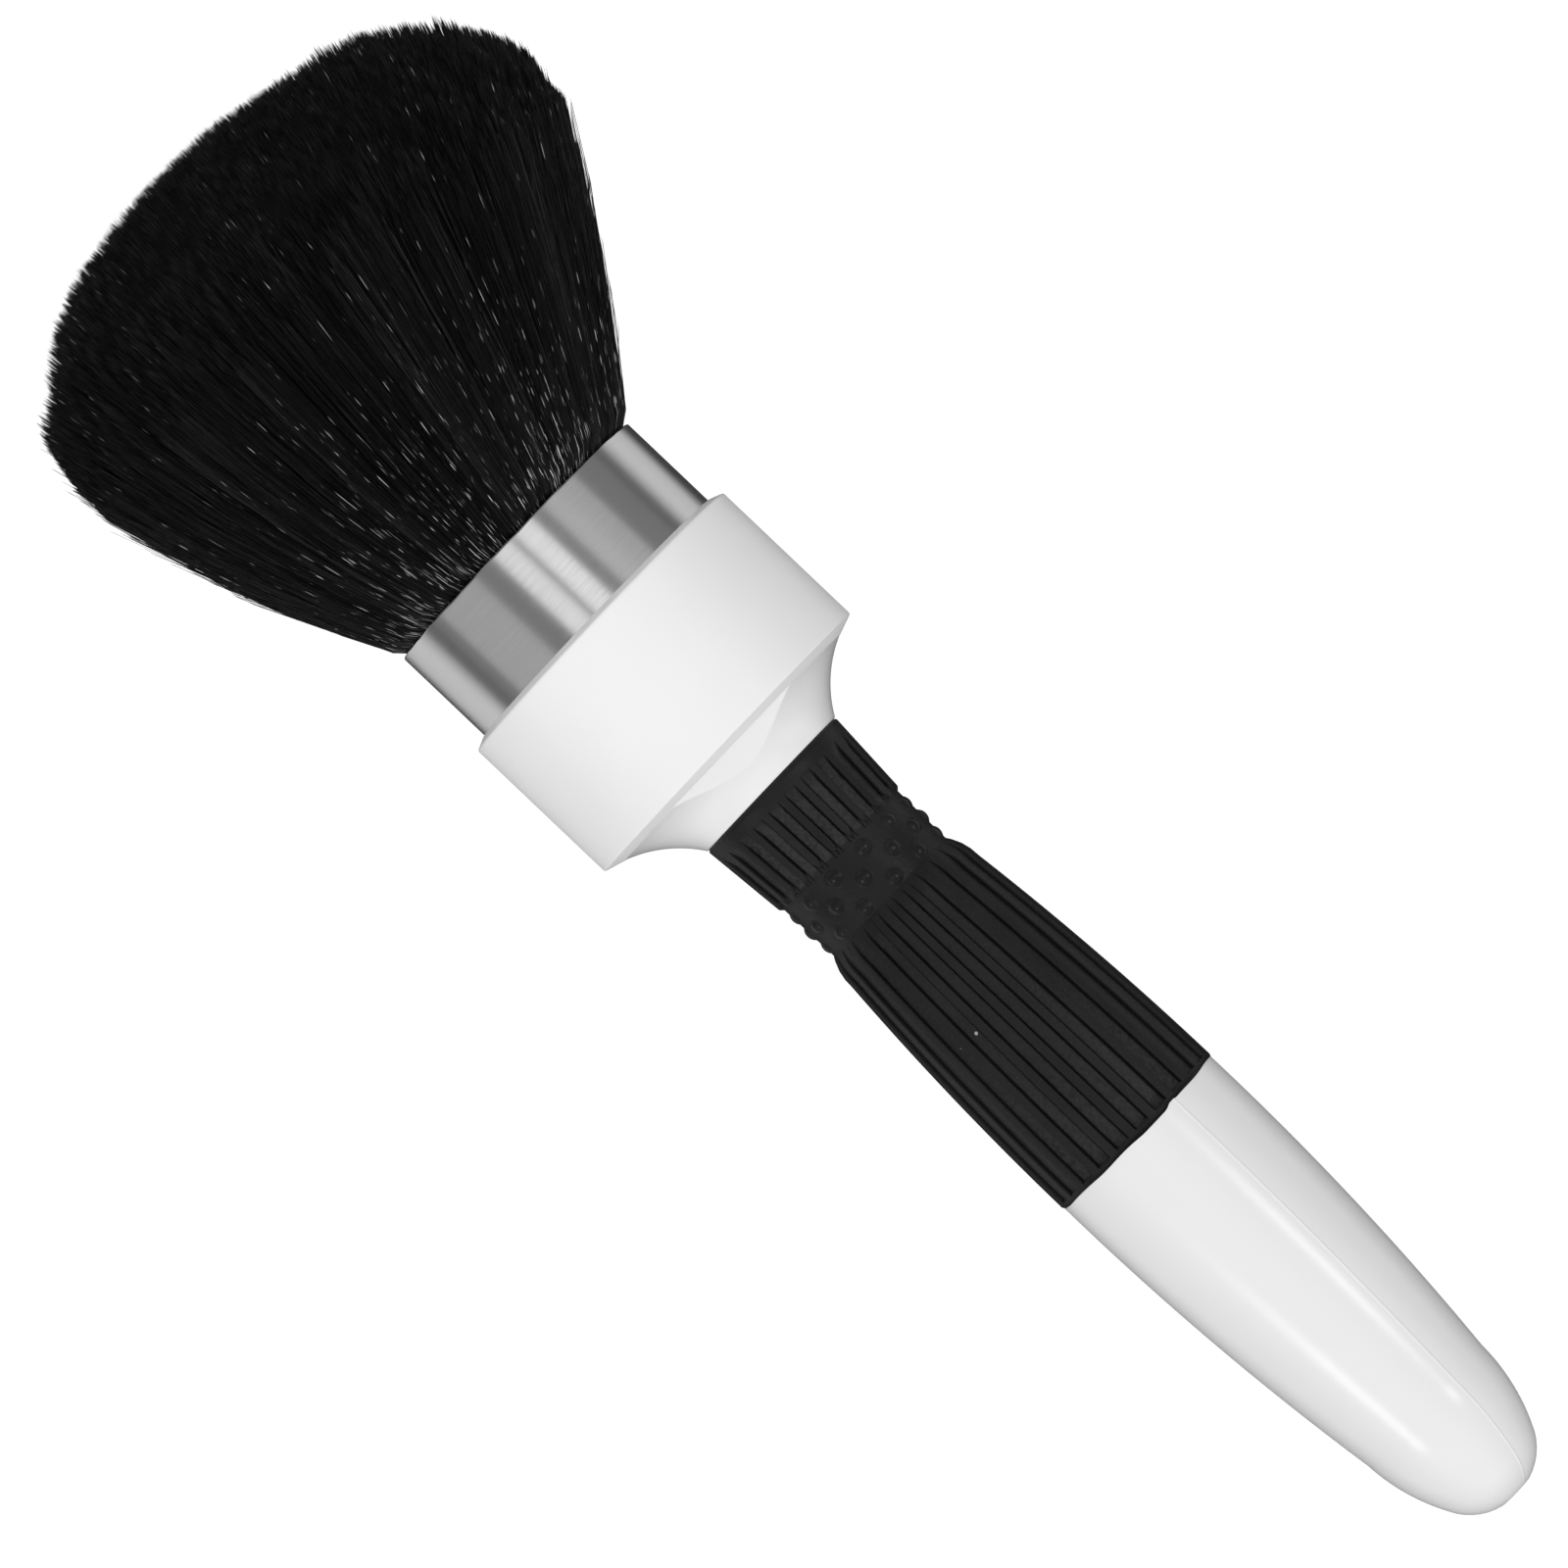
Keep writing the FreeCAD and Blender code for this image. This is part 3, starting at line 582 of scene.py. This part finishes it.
tailFacts = {
    "outside": ((72.2, 11.7, 0.15, 341.5), (116.2, 9.22, 0, 23.7), (127.1, 6.25, 0, 7.0), (130.1, 2.2, 0.6, 0)),
    "inside": ((127.1, 0, 0), (122.5, 4.2, 1.0), (112.0, 7.4, 1.0), (84.5, 8.05, 0.2), (72.2, 8.05, 0.2)),
    "step": 0.8, "wallMiddle": ((72, 10), (84, 10), (116, 8.4), (127, 5.5), (130.1, 0)),
    "seamAngles": (27.5, 207.5), "seamRise": 0.07, "seamHalf": 1.2, "seamRadius": 11.0,
    "seamColumns": (-2.4, 2.41, 0.3), "plainColumns": (4, 176, 90),  # degrees off a seam
    "colour": (0.70, 0.70, 0.70, 1), "shade": (0.688, 0.688, 0.688, 1), "roughness": (0.22, 0.27),
    "coat": 0.0, "grainDepth": 0.000003,
}


def makeTail():
    f = tailFacts
    tip = (f["outside"][-1][0], 0, 0)
    line = sectionLine([*f["inside"], *f["outside"], tip], f["step"], closed=False)
    seams = [math.radians(a) for a in f["seamAngles"]]
    first, last, count = f["plainColumns"]
    fine = np.radians(np.arange(*f["seamColumns"]))
    wide = np.linspace(math.radians(first), math.radians(last), count)
    angles = np.concatenate([seams[0] + fine, seams[0] + wide, seams[1] + fine, seams[1] + wide])

    def seam(x, radius, turn):
        outside = radius > np.interp(x, *zip(*f["wallMiddle"]))
        away = np.min([np.abs((np.degrees(turn) - a + 180) % 360 - 180) for a in f["seamAngles"]], axis=0)
        ridge = f["seamRise"] * smoothStep(f["seamHalf"], 0.0, away * radius / f["seamRadius"])
        return x, np.where(outside, radius + ridge * smoothStep(0, 4, radius), radius)

    layPiece("tail_cap", turnedMesh("tail_cap", line, angles, seam, closed=False),
             whitePlastic("glossyWhiteTail", f), "tail_shell")


# tuft: fine black bristles, flared and trimmed to a leaning dome

tuftFacts = {
    "strands": 44000, "pieces": 10, "points": 8,
    "thickness": (0.046, 0.046, 0.040), "thicknessRange": (0.8, 0.4),
    "root": -20.6, "rootRange": 0.8, "rootRadius": 17.0, "rootPath": 17.3,
    "mouth": -22.85, "mouthRadius": 17.15, "mouthRun": 1.3,
    # x and distance from the axis: the two sides as far as they run, then the trimmed crown over them
    "leftPath": ((-21, 17.2), (-22.8, 17.8), (-26.1, 19.7), (-30.5, 21.7), (-34.8, 23.0), (-39.2, 24.9),
                 (-43.5, 26.5), (-47.9, 27.6), (-54.4, 29.3), (-60.9, 30.7), (-70, 32.9), (-80, 35.0)),
    "rightPath": ((-21, 17.2), (-22.8, 18.0), (-26.1, 21.1), (-30.5, 24.5), (-34.8, 27.5), (-39.2, 30.9),
                  (-43.5, 33.9), (-47.9, 36.8), (-52, 39.7), (-56, 42.3), (-61, 45.2), (-70, 50.0),
                  (-80, 54.5)),
    "leftCrown": ((-79.6, 0.0), (-79.3, 5.5), (-78.5, 11.6), (-77.4, 15.5), (-76.3, 18.4), (-74.2, 21.7),
                  (-72.1, 24.2), (-70.1, 27.1), (-68.0, 28.3), (-66.0, 28.9), (-64.0, 29.5), (-62, 30.3),
                  (-60, 30.3), (-58, 30.1)),
    "rightCrown": ((-79.6, 1.5), (-79.2, 5.8), (-78.3, 14.2), (-77.3, 18.9), (-76.2, 22.8), (-74.3, 30.0),
                   (-72.1, 32.5), (-70.2, 35.1), (-68.0, 36.6), (-66.0, 38.0), (-64.0, 39.6), (-62, 40.8),
                   (-60, 41.2), (-58, 40.6), (-56, 40.3), (-53, 40.4)),
    "flatness": 0.105, "flareRun": (-24.0, -58.0),
    "shellShare": 0.46, "shellDepth": 0.12, "innerReach": 0.95, "tableGap": 0.12,
    "clumps": (240, 2600), "clumpPull": (0.20, 0.30), "pullRange": (0.4, 0.8), "pullCurve": 1.5,
    "wave": 0.22, "waveCycles": (1.2, 2.7), "waveStart": 0.25, "strayCurve": 1.6, "toneMix": (0.45, 0.55),
    "strays": 0.006, "strayReach": 0.6, "jitter": 0.14, "clumpJitter": 0.18, "tipLength": 0.9,
    "shortShare": 0.24, "shortCut": 22, "shortKick": 1.4,
    "coreSides": 96, "coreRows": (26, 24), "coreShare": (0.93, 0.02), "coreRoot": -21.5, "coreBelow": 1.1,
    "coreTrim": 0.955, "coreGap": 1.5,
    "colour": (0.0022, 0.0022, 0.0024, 1), "lighter": (0.024, 0.024, 0.0245, 1), "tipGrey": 0.35,
    "tipFrom": 0.965, "paleness": 2.5,
    # painted glints, highlights painted into the colour: how many places along a strand, how rare, how much
    # rarer towards the tip, and how soft
    "paintedGlint": (0.52, 0.52, 0.53, 1), "glintSteps": 9.5, "glintBar": 0.672, "glintFade": 0.12,
    "glintRun": (0.06, 0.85), "glintSoft": 0.07, "patchiness": 0.13, "patches": 90.0, "strandApart": 900.0,
    "roughness": 0.45, "gloss": 0.25,
    "coreColours": ((0.002, 0.002, 0.002, 1), (0.007, 0.007, 0.007, 1)),
}


def tuftCurves():
    f = tuftFacts
    left, right = (np.polynomial.Polynomial.fit(*np.array(f[path]).T, 4) for path in ("leftPath", "rightPath"))

    def section(x):  # middle, half width and half height of the tuft at x
        low, high = left(x), right(x)
        wide = (low + high) / 2
        return (high - low) / 2, wide, wide * (1 - f["flatness"] * smoothStep(*f["flareRun"], x))

    crowns = []  # for each side, x of the trim by depth in the bundle: 0 at its middle, 1 on its outside
    for side, key in ((-1, "leftCrown"), (1, "rightCrown")):
        x, reach = np.array(f[key]).T
        middle, wide, _ = section(x)
        share = np.maximum.accumulate(np.maximum((reach - side * middle) / wide, 0))
        grid = np.linspace(0, 1, 120)
        rough = np.interp(grid, share, x)
        padded = np.concatenate([np.full(3, rough[0]), rough, 2 * rough[-1] - rough[-2:-5:-1]])
        crowns.append((grid, np.convolve(padded, np.ones(7) / 7, "valid")))
    return section, crowns


def crownAt(crowns, depth, turn):
    left, right = (np.interp(depth, *crown) for crown in crowns)
    toRight = (1 + np.cos(turn)) / 2
    return left * (1 - toRight) + right * toRight


def liftOffTable(points, gap):
    place = np.array(layDown)
    height = (points * mm) @ place[2, :3] + place[2, 3]
    points[..., 2] += np.maximum(gap * mm - height, 0) / mm


def bristleMaterial():
    f = tuftFacts
    material, tree, shader = newMaterial("blackBristle", Roughness=f["roughness"],
                                         Specular_IOR_Level=f["gloss"])
    tone, reach = markOf(tree, "strandTone"), markOf(tree, "strandReach")
    # painted highlights: short glints painted into the colour at chance places along each strand, more of them
    # near the roots
    own = maths(tree, "MULTIPLY", tone, f["strandApart"])
    step = maths(tree, "MULTIPLY", reach, f["glintSteps"])
    strandPlace = addNode(tree, "CombineXYZ", {"X": own, "Y": step}).outputs[0]
    flicker = noise(tree, strandPlace, Scale=1.0, Detail=1.0)
    patch = noise(tree, ownPlace(tree), Scale=f["patches"], Detail=1.0)
    bar = maths(tree, "ADD", remap(tree, reach, *f["glintRun"], 0.0, f["glintFade"]), f["glintBar"])
    lifted = maths(tree, "MULTIPLY_ADD", patch, f["patchiness"], flicker)
    paintedGlint = remap(tree, maths(tree, "SUBTRACT", lifted, bar), 0.0, f["glintSoft"])
    # paler strands, and paler cut ends
    pale = maths(tree, "POWER", tone, f["paleness"])
    atTip = remap(tree, reach, f["tipFrom"], 1.0, 0.0, f["tipGrey"])
    base = blend(tree, maths(tree, "MULTIPLY_ADD", tone, atTip, pale), f["colour"], f["lighter"])
    feed(tree, shader.inputs, Base_Color=blend(tree, paintedGlint, base, f["paintedGlint"]))
    return material


def denseMaterial():
    material, tree, shader = newMaterial("denseBristle", Roughness=0.9, Specular_IOR_Level=0.05)
    grain = noise(tree, ownPlace(tree), Scale=900.0)
    feed(tree, shader.inputs, Base_Color=blend(tree, grain, *tuftFacts["coreColours"]))
    return material


def trimStrands(crowns):  # depth and turn in the bundle, x of the cut end, and which are cut short
    f = tuftFacts
    count = f["strands"]
    onShell = chance.random(count) < f["shellShare"]
    outer = 1 - f["shellDepth"] * chance.random(count) ** 1.5
    inner = f["innerReach"] * np.sqrt(chance.random(count))
    depth = np.where(onShell, outer, inner)
    turn = chance.random(count) * fullTurn
    tip = crownAt(crowns, depth, turn)
    tip += chance.normal(0, f["jitter"], count)
    short = onShell & (chance.random(count) < f["shortShare"])
    tip = np.where(short, tip + (chance.random(count) ** 1.3) * f["shortCut"], tip)
    return depth, turn, tip, short


# each strand leans into a big and a small clump, and the small ones share their trim and tone
def gatherClumps(flatY, flatZ):
    f = tuftFacts
    leans = []
    for clumps, pull in zip(f["clumps"], f["clumpPull"]):
        far, angle = np.sqrt(chance.random(clumps)), chance.random(clumps) * fullTurn
        tree = KDTree(clumps)
        centres = np.column_stack([far * np.cos(angle), far * np.sin(angle), 0 * far])
        for i, centre in enumerate(centres):
            tree.insert(centre, i)
        tree.balance()
        near = np.array([tree.find((y, z, 0))[1] for y, z in zip(flatY, flatZ)])
        ragged = chance.normal(0, f["clumpJitter"], clumps)[near]
        tone = chance.random(clumps)[near]
        least, more = f["pullRange"]
        share = pull * (least + more * chance.random(len(flatY)))
        leans.append((centres[near, 0] - flatY, centres[near, 1] - flatZ, share))
    return leans, ragged, tone


# points along each strand, how far along it they are, and its clump's tone
def runStrands(section, depth, turn, tip, short):
    f = tuftFacts
    count, points = f["strands"], f["points"]
    flatY, flatZ = depth * np.cos(turn), depth * np.sin(turn)
    leans, ragged, tone = gatherClumps(flatY, flatZ)
    root = f["root"] + f["rootRange"] * chance.random(count)[:, None]
    last = (tip + ragged)[:, None]
    start = f["mouth"] - f["mouthRun"]
    spread = start + (last + f["tipLength"] - start) * np.linspace(0, 1, points - 3)[None, :]
    x = np.hstack([root, np.full_like(root, f["mouth"]), spread, last])
    t = (x - x[:, :1]) / (last - x[:, :1])
    y, z = np.repeat(flatY[:, None], points, 1), np.repeat(flatZ[:, None], points, 1)
    for dy, dz, pull in leans:
        y = y + dy[:, None] * pull[:, None] * t ** f["pullCurve"]
        z = z + dz[:, None] * pull[:, None] * t ** f["pullCurve"]
    middle, wide, tall = section(x)
    keep = f["rootRadius"] / f["rootPath"]
    y, z = (middle + wide * y) * keep, tall * z * keep
    inside = np.minimum(1, f["mouthRadius"] / np.maximum(np.hypot(y[:, :2], z[:, :2]), 1))
    y[:, :2] *= inside
    z[:, :2] *= inside
    grow = smoothStep(0.0, f["waveStart"], t)
    for target in (y, z):
        for cycles in f["waveCycles"]:
            phase = chance.random(count)[:, None] * fullTurn
            target += f["wave"] / cycles * grow * t * np.sin(cycles * fullTurn * t + phase)
    stray = (chance.random(count) < f["strays"])[:, None]
    y = y + stray * chance.normal(0, f["strayReach"], count)[:, None] * t ** f["strayCurve"]
    z = z + stray * chance.normal(0, f["strayReach"], count)[:, None] * t ** f["strayCurve"]
    outward = np.where(short, f["shortKick"], 0.0)[:, None] * t ** 2 * chance.random(count)[:, None]
    y = y + outward * np.cos(turn)[:, None]
    z = z + outward * np.sin(turn)[:, None]
    way = np.stack([x, y, z], -1)
    liftOffTable(way, f["tableGap"])
    return way, t, tone


def thickenStrands(way, t, turn):  # rings of three points, none at the tip, which closes to a point
    count = len(way)
    ahead = np.gradient(way, axis=1)
    ahead /= np.linalg.norm(ahead, axis=2, keepdims=True)
    outer = np.stack([0 * turn, np.cos(turn), np.sin(turn)], -1)[:, None, :]
    first = outer - (outer * ahead).sum(2, keepdims=True) * ahead
    first /= np.linalg.norm(first, axis=2, keepdims=True)
    second = np.cross(ahead, first)
    least, more = tuftFacts["thicknessRange"]
    thick = np.interp(t, (0, 0.6, 1), tuftFacts["thickness"]) * (least + more * chance.random(count))[:, None]
    roll = chance.random(count) * fullTurn
    rings = []
    for k in range(3):
        a = (roll + k * fullTurn / 3)[:, None, None]
        rings.append(way + thick[..., None] * (np.cos(a) * first + np.sin(a) * second))
    return np.stack(rings, 2)[:, :-1]


def strandMesh(name, rings, tips):
    many, sections = rings.shape[:2]
    perStrand = 3 * sections + 1
    points = np.concatenate([rings.reshape(many, -1, 3), tips[:, None]], 1).reshape(-1, 3)
    base = (np.arange(many) * perStrand)[:, None, None]
    ring = base + np.arange(sections - 1)[None, :, None] * 3
    k = np.arange(3)
    after = (k + 1) % 3
    quads = np.stack([ring + k, ring + after, ring + 3 + after, ring + 3 + k], -1)
    root = base[:, 0]
    lastRing = root + 3 * (sections - 1)
    tip = np.broadcast_to(root + perStrand - 1, (many, 3))
    tipFaces = np.stack([lastRing + k, lastRing + after, tip], -1).reshape(-1, 3)
    rootFaces = np.hstack([root + 2, root + 1, root])
    return meshFrom(name, points, quads, np.vstack([tipFaces, rootFaces]))


def makeTuft():
    f = tuftFacts
    section, crowns = tuftCurves()
    depth, turn, tip, short = trimStrands(crowns)
    way, t, tone = runStrands(section, depth, turn, tip, short)
    rings = thickenStrands(way, t, turn)
    ofClump, ofStrand = f["toneMix"]
    shade = ofClump * tone + ofStrand * chance.random(f["strands"])
    material = bristleMaterial()
    for part, chosen in enumerate(np.array_split(np.argsort(turn), f["pieces"])):
        name = f"bristles_{part + 1}"
        mesh = strandMesh(name, rings[chosen], way[chosen, -1])
        perStrand = len(mesh.vertices) // len(chosen)
        reach = np.hstack([np.repeat(t[chosen, :-1], 3, axis=1), np.ones((len(chosen), 1))])
        paintMarks(mesh, {"strandTone": np.repeat(shade[chosen], perStrand), "strandReach": reach})
        layPiece(name, mesh, material, "bristle_tuft")
    makeTuftCore(section, crowns)


def makeTuftCore(section, crowns):  # the dense inside of the bundle: side rows, then rows over the crown
    f = tuftFacts
    sideRows, crownRows = f["coreRows"]
    outer, top = f["coreShare"]
    shares = np.concatenate([np.full(sideRows, outer), np.linspace(outer, top, crownRows)[1:]])
    goes = np.concatenate([np.linspace(0, 1, sideRows), np.ones(crownRows - 1)])
    angles = evenTurn(f["coreSides"])
    rows = []
    for share, go in zip(shares, goes):
        ends = crownAt(crowns, share / f["coreTrim"], angles)
        x = f["coreRoot"] + (ends + f["coreBelow"] - f["coreRoot"]) * go
        middle, wide, tall = section(x)
        rows.append(np.column_stack([x, middle + share * wide * np.cos(angles), share * tall * np.sin(angles)]))
    rows = np.array(rows)
    liftOffTable(rows, f["coreGap"])
    mesh = ringMesh("bristle_core", rows, [rows[0].mean(0), rows[-1].mean(0)])
    layPiece("bristle_core", mesh, denseMaterial(), "bristle_tuft")


# parts kept from the engineering model, hidden inside the brush

hiddenGrainDepth = 0.00003
hiddenFinishes = {  # for each node: material, colour, shade, roughness, metallic, grain
    "root_binding": ("waxedThread", (0.35, 0.3, 0.22, 1), (0.25, 0.2, 0.14, 1), (0.7, 0.85), 0.0, 2600.0),
    "bristle_spreader": ("beechWood", (0.42, 0.28, 0.16, 1), (0.34, 0.21, 0.11, 1), (0.5, 0.65), 0.0, 300.0),
    "root_resin_plug": ("amberResin", (0.10, 0.07, 0.035, 1), (0.07, 0.045, 0.02, 1), (0.2, 0.35), 0.0, 200.0),
    "ferrule_backing_disc": ("galvanised", (0.55, 0.55, 0.55, 1), (0.45, 0.45, 0.46, 1), (0.3, 0.45),
                             1.0, 700.0),
    "collar_screw": ("zincPlated", (0.62, 0.61, 0.58, 1), (0.5, 0.5, 0.48, 1), (0.2, 0.35), 1.0, 900.0),
    "screw_washer": ("zincWasher", (0.62, 0.62, 0.6, 1), (0.5, 0.5, 0.49, 1), (0.25, 0.4), 1.0, 900.0),
}


def finishHiddenParts():
    for node, (name, colour, shade, roughness, metal, grain) in hiddenFinishes.items():
        material, tree, shader = newMaterial(name, Metallic=metal)
        skin = skinOf(tree, {"colour": colour, "shade": shade, "roughness": roughness},
                      Grain_Scale=grain, Cloud_Scale=grain / 4)
        feed(tree, shader.inputs, Base_Color=skin["Colour"], Roughness=skin["Roughness"])
        bumpInto(tree, shader, skin["Height"], hiddenGrainDepth)
        holder = frame["nodes"][node]
        for slot in holder.material_slots:
            slot.material = material
        if not holder.material_slots:
            holder.data.materials.append(material)


# camera, floor and lights

studio = {
    "eye": (29.8, 0.99, 1280.0), "aim": (17.3, 0.99, 0.0), "rightward": (0.725, 0.689, 0),
    "lens": 265.0, "sensor": 36.0, "clip": (0.01, 50.0), "skyForDiffuse": 0.86, "skyForGloss": 0.18,
    # floor shades: grey with a painted falloff outwards and a painted shadow under the brush, and the distances
    # in metres over which these fade outwards and from under the brush
    "floorHalf": 3, "floorNear": 0.52, "floorFar": 0.10, "floorFade": (0.10, 0.22),
    "floorShadow": 0.12, "shadowFade": (0.030, 0.044), "lightsAround": (15, 0, 0), "lightsAway": 1.6,
    # azimuth off the top towards +y, tilt towards the tail, width and height in degrees, radiance,
    # and whether it lights the gloss, the diffuse or both
    "lights": {
        "keyLeft": (-48, 17, 12, 8, 7.5, "both"),
        "keyRight": (39, 12, 8, 11, 9, "both"),
        "bandLeft": (-10.5, -2, 17, 10, 0.78, "gloss"),
        "bandRight": (11, -2, 17, 10, 0.84, "gloss"),
        "cardLeft": (-59, -2, 42, 10, 0.23, "gloss"),
        "cardRight": (48, -2, 34, 10, 0.25, "gloss"),
        "softFront": (-5, -50, 45, 45, 0.8, "diffuse"),
        "softLeft": (-50, 15, 45, 45, 0.3, "diffuse"),
        "softTail": (-35, 50, 50, 40, 0.7, "diffuse"),
        "farTail": (-10, 75, 40, 30, 2.2, "diffuse"),
    },
}


def makeCamera():
    s = studio
    eye, aim = brushPoint(*s["eye"]), brushPoint(*s["aim"])
    back = (eye - aim).normalized()
    right = layDown.to_3x3() @ Vector(s["rightward"])
    right = (right - right.dot(back) * back).normalized()
    camera = bpy.data.objects.new("camera", bpy.data.cameras.new("camera"))
    turned = Matrix((right, back.cross(right), back)).transposed().to_4x4()
    camera.matrix_world = Matrix.Translation(eye) @ turned
    camera.data.lens, camera.data.sensor_width = s["lens"], s["sensor"]
    camera.data.clip_start, camera.data.clip_end = s["clip"]
    bpy.context.collection.objects.link(camera)
    bpy.context.scene.camera = camera
    bpy.context.scene.view_settings.view_transform = "Standard"


def makeSky():
    world = bpy.data.worlds.new("studioRoom")
    bpy.context.scene.world = world
    world.use_nodes = True
    tree = world.node_tree
    tree.nodes.clear()
    ray = addNode(tree, "LightPath").outputs
    sky = remap(tree, ray["Is Glossy Ray"], low=studio["skyForDiffuse"], high=studio["skyForGloss"])
    grey = addNode(tree, "Background", {"Color": (1, 1, 1, 1), "Strength": sky})
    white = addNode(tree, "Background", {"Color": (1, 1, 1, 1), "Strength": 1.0})
    pick = addNode(tree, "MixShader", {0: ray["Is Camera Ray"], 1: grey.outputs[0], 2: white.outputs[0]})
    addNode(tree, "OutputWorld", {"Surface": pick.outputs[0]})


def makeFloor():  # looks white to the camera; to everything else it is grey, with a painted falloff outwards and a painted shadow under the brush
    s = studio
    half = s["floorHalf"]
    plane = bpy.data.meshes.new("floor")
    corners = [(-half, -half, 0), (half, -half, 0), (half, half, 0), (-half, half, 0)]
    plane.from_pydata(corners, [], [(0, 1, 2, 3)])
    floor = bpy.data.objects.new("floor", plane)
    bpy.context.collection.objects.link(floor)
    material, tree, shader = newMaterial("paleFloor", Roughness=0.9, Specular_IOR_Level=0.0,
                                         Emission_Color=(1, 1, 1, 1))
    spot = addNode(tree, "NewGeometry").outputs["Position"]
    far = addNode(tree, "VectorMath", {0: spot}, operation="LENGTH").outputs["Value"]
    paintedFalloff = remap(tree, far, *s["floorFade"], s["floorNear"], s["floorFar"])
    # painted shadow: the floor's colour darkens under the brush, and a painted falloff darkens it farther out
    across = addNode(tree, "SeparateXYZ", {"Vector": spot}).outputs["Y"]
    paintedShadow = remap(tree, maths(tree, "ABSOLUTE", across), *s["shadowFade"], s["floorShadow"], 1.0)
    feed(tree, shader.inputs, Base_Color=maths(tree, "MULTIPLY", paintedFalloff, paintedShadow),
         Emission_Strength=addNode(tree, "LightPath").outputs["Is Camera Ray"])
    plane.materials.append(material)


def makeLights():
    turnOnly, distance = layDown.to_3x3(), studio["lightsAway"]
    middle = brushPoint(*studio["lightsAround"])
    for name, (azimuth, tilt, wide, high, radiance, use) in studio["lights"].items():
        a, b = math.radians(azimuth), math.radians(tilt)
        towards = turnOnly @ Vector((math.sin(b), math.cos(b) * math.sin(a), math.cos(b) * math.cos(a)))
        lamp = bpy.data.lights.new(name, "AREA")
        lamp.shape = "RECTANGLE"
        lamp.size = 2 * distance * math.tan(math.radians(wide / 2))
        lamp.size_y = 2 * distance * math.tan(math.radians(high / 2))
        lamp.energy = radiance * math.pi * lamp.size * lamp.size_y
        light = bpy.data.objects.new(name, lamp)
        light.visible_glossy = use != "diffuse"
        light.visible_diffuse = use != "gloss"
        sideways = (turnOnly @ Vector((0, math.cos(a), -math.sin(a)))).normalized()
        faced = Matrix((sideways, towards.cross(sideways), towards)).transposed().to_4x4()
        light.matrix_world = Matrix.Translation(middle + towards * distance) @ faced
        bpy.context.collection.objects.link(light)


makeCamera()
makeSky()
makeFloor()
makeLights()
print("stage: studio")
makeFerrule()
makeDrum()
makeNeck()
print("stage: ferrule, drum and neck")
makeGrip()
makeTail()
print("stage: grip and tail")
makeTuft()
print("stage: bristles")
finishHiddenParts()
print("stage: hidden parts")

bpy.context.view_layer.update()
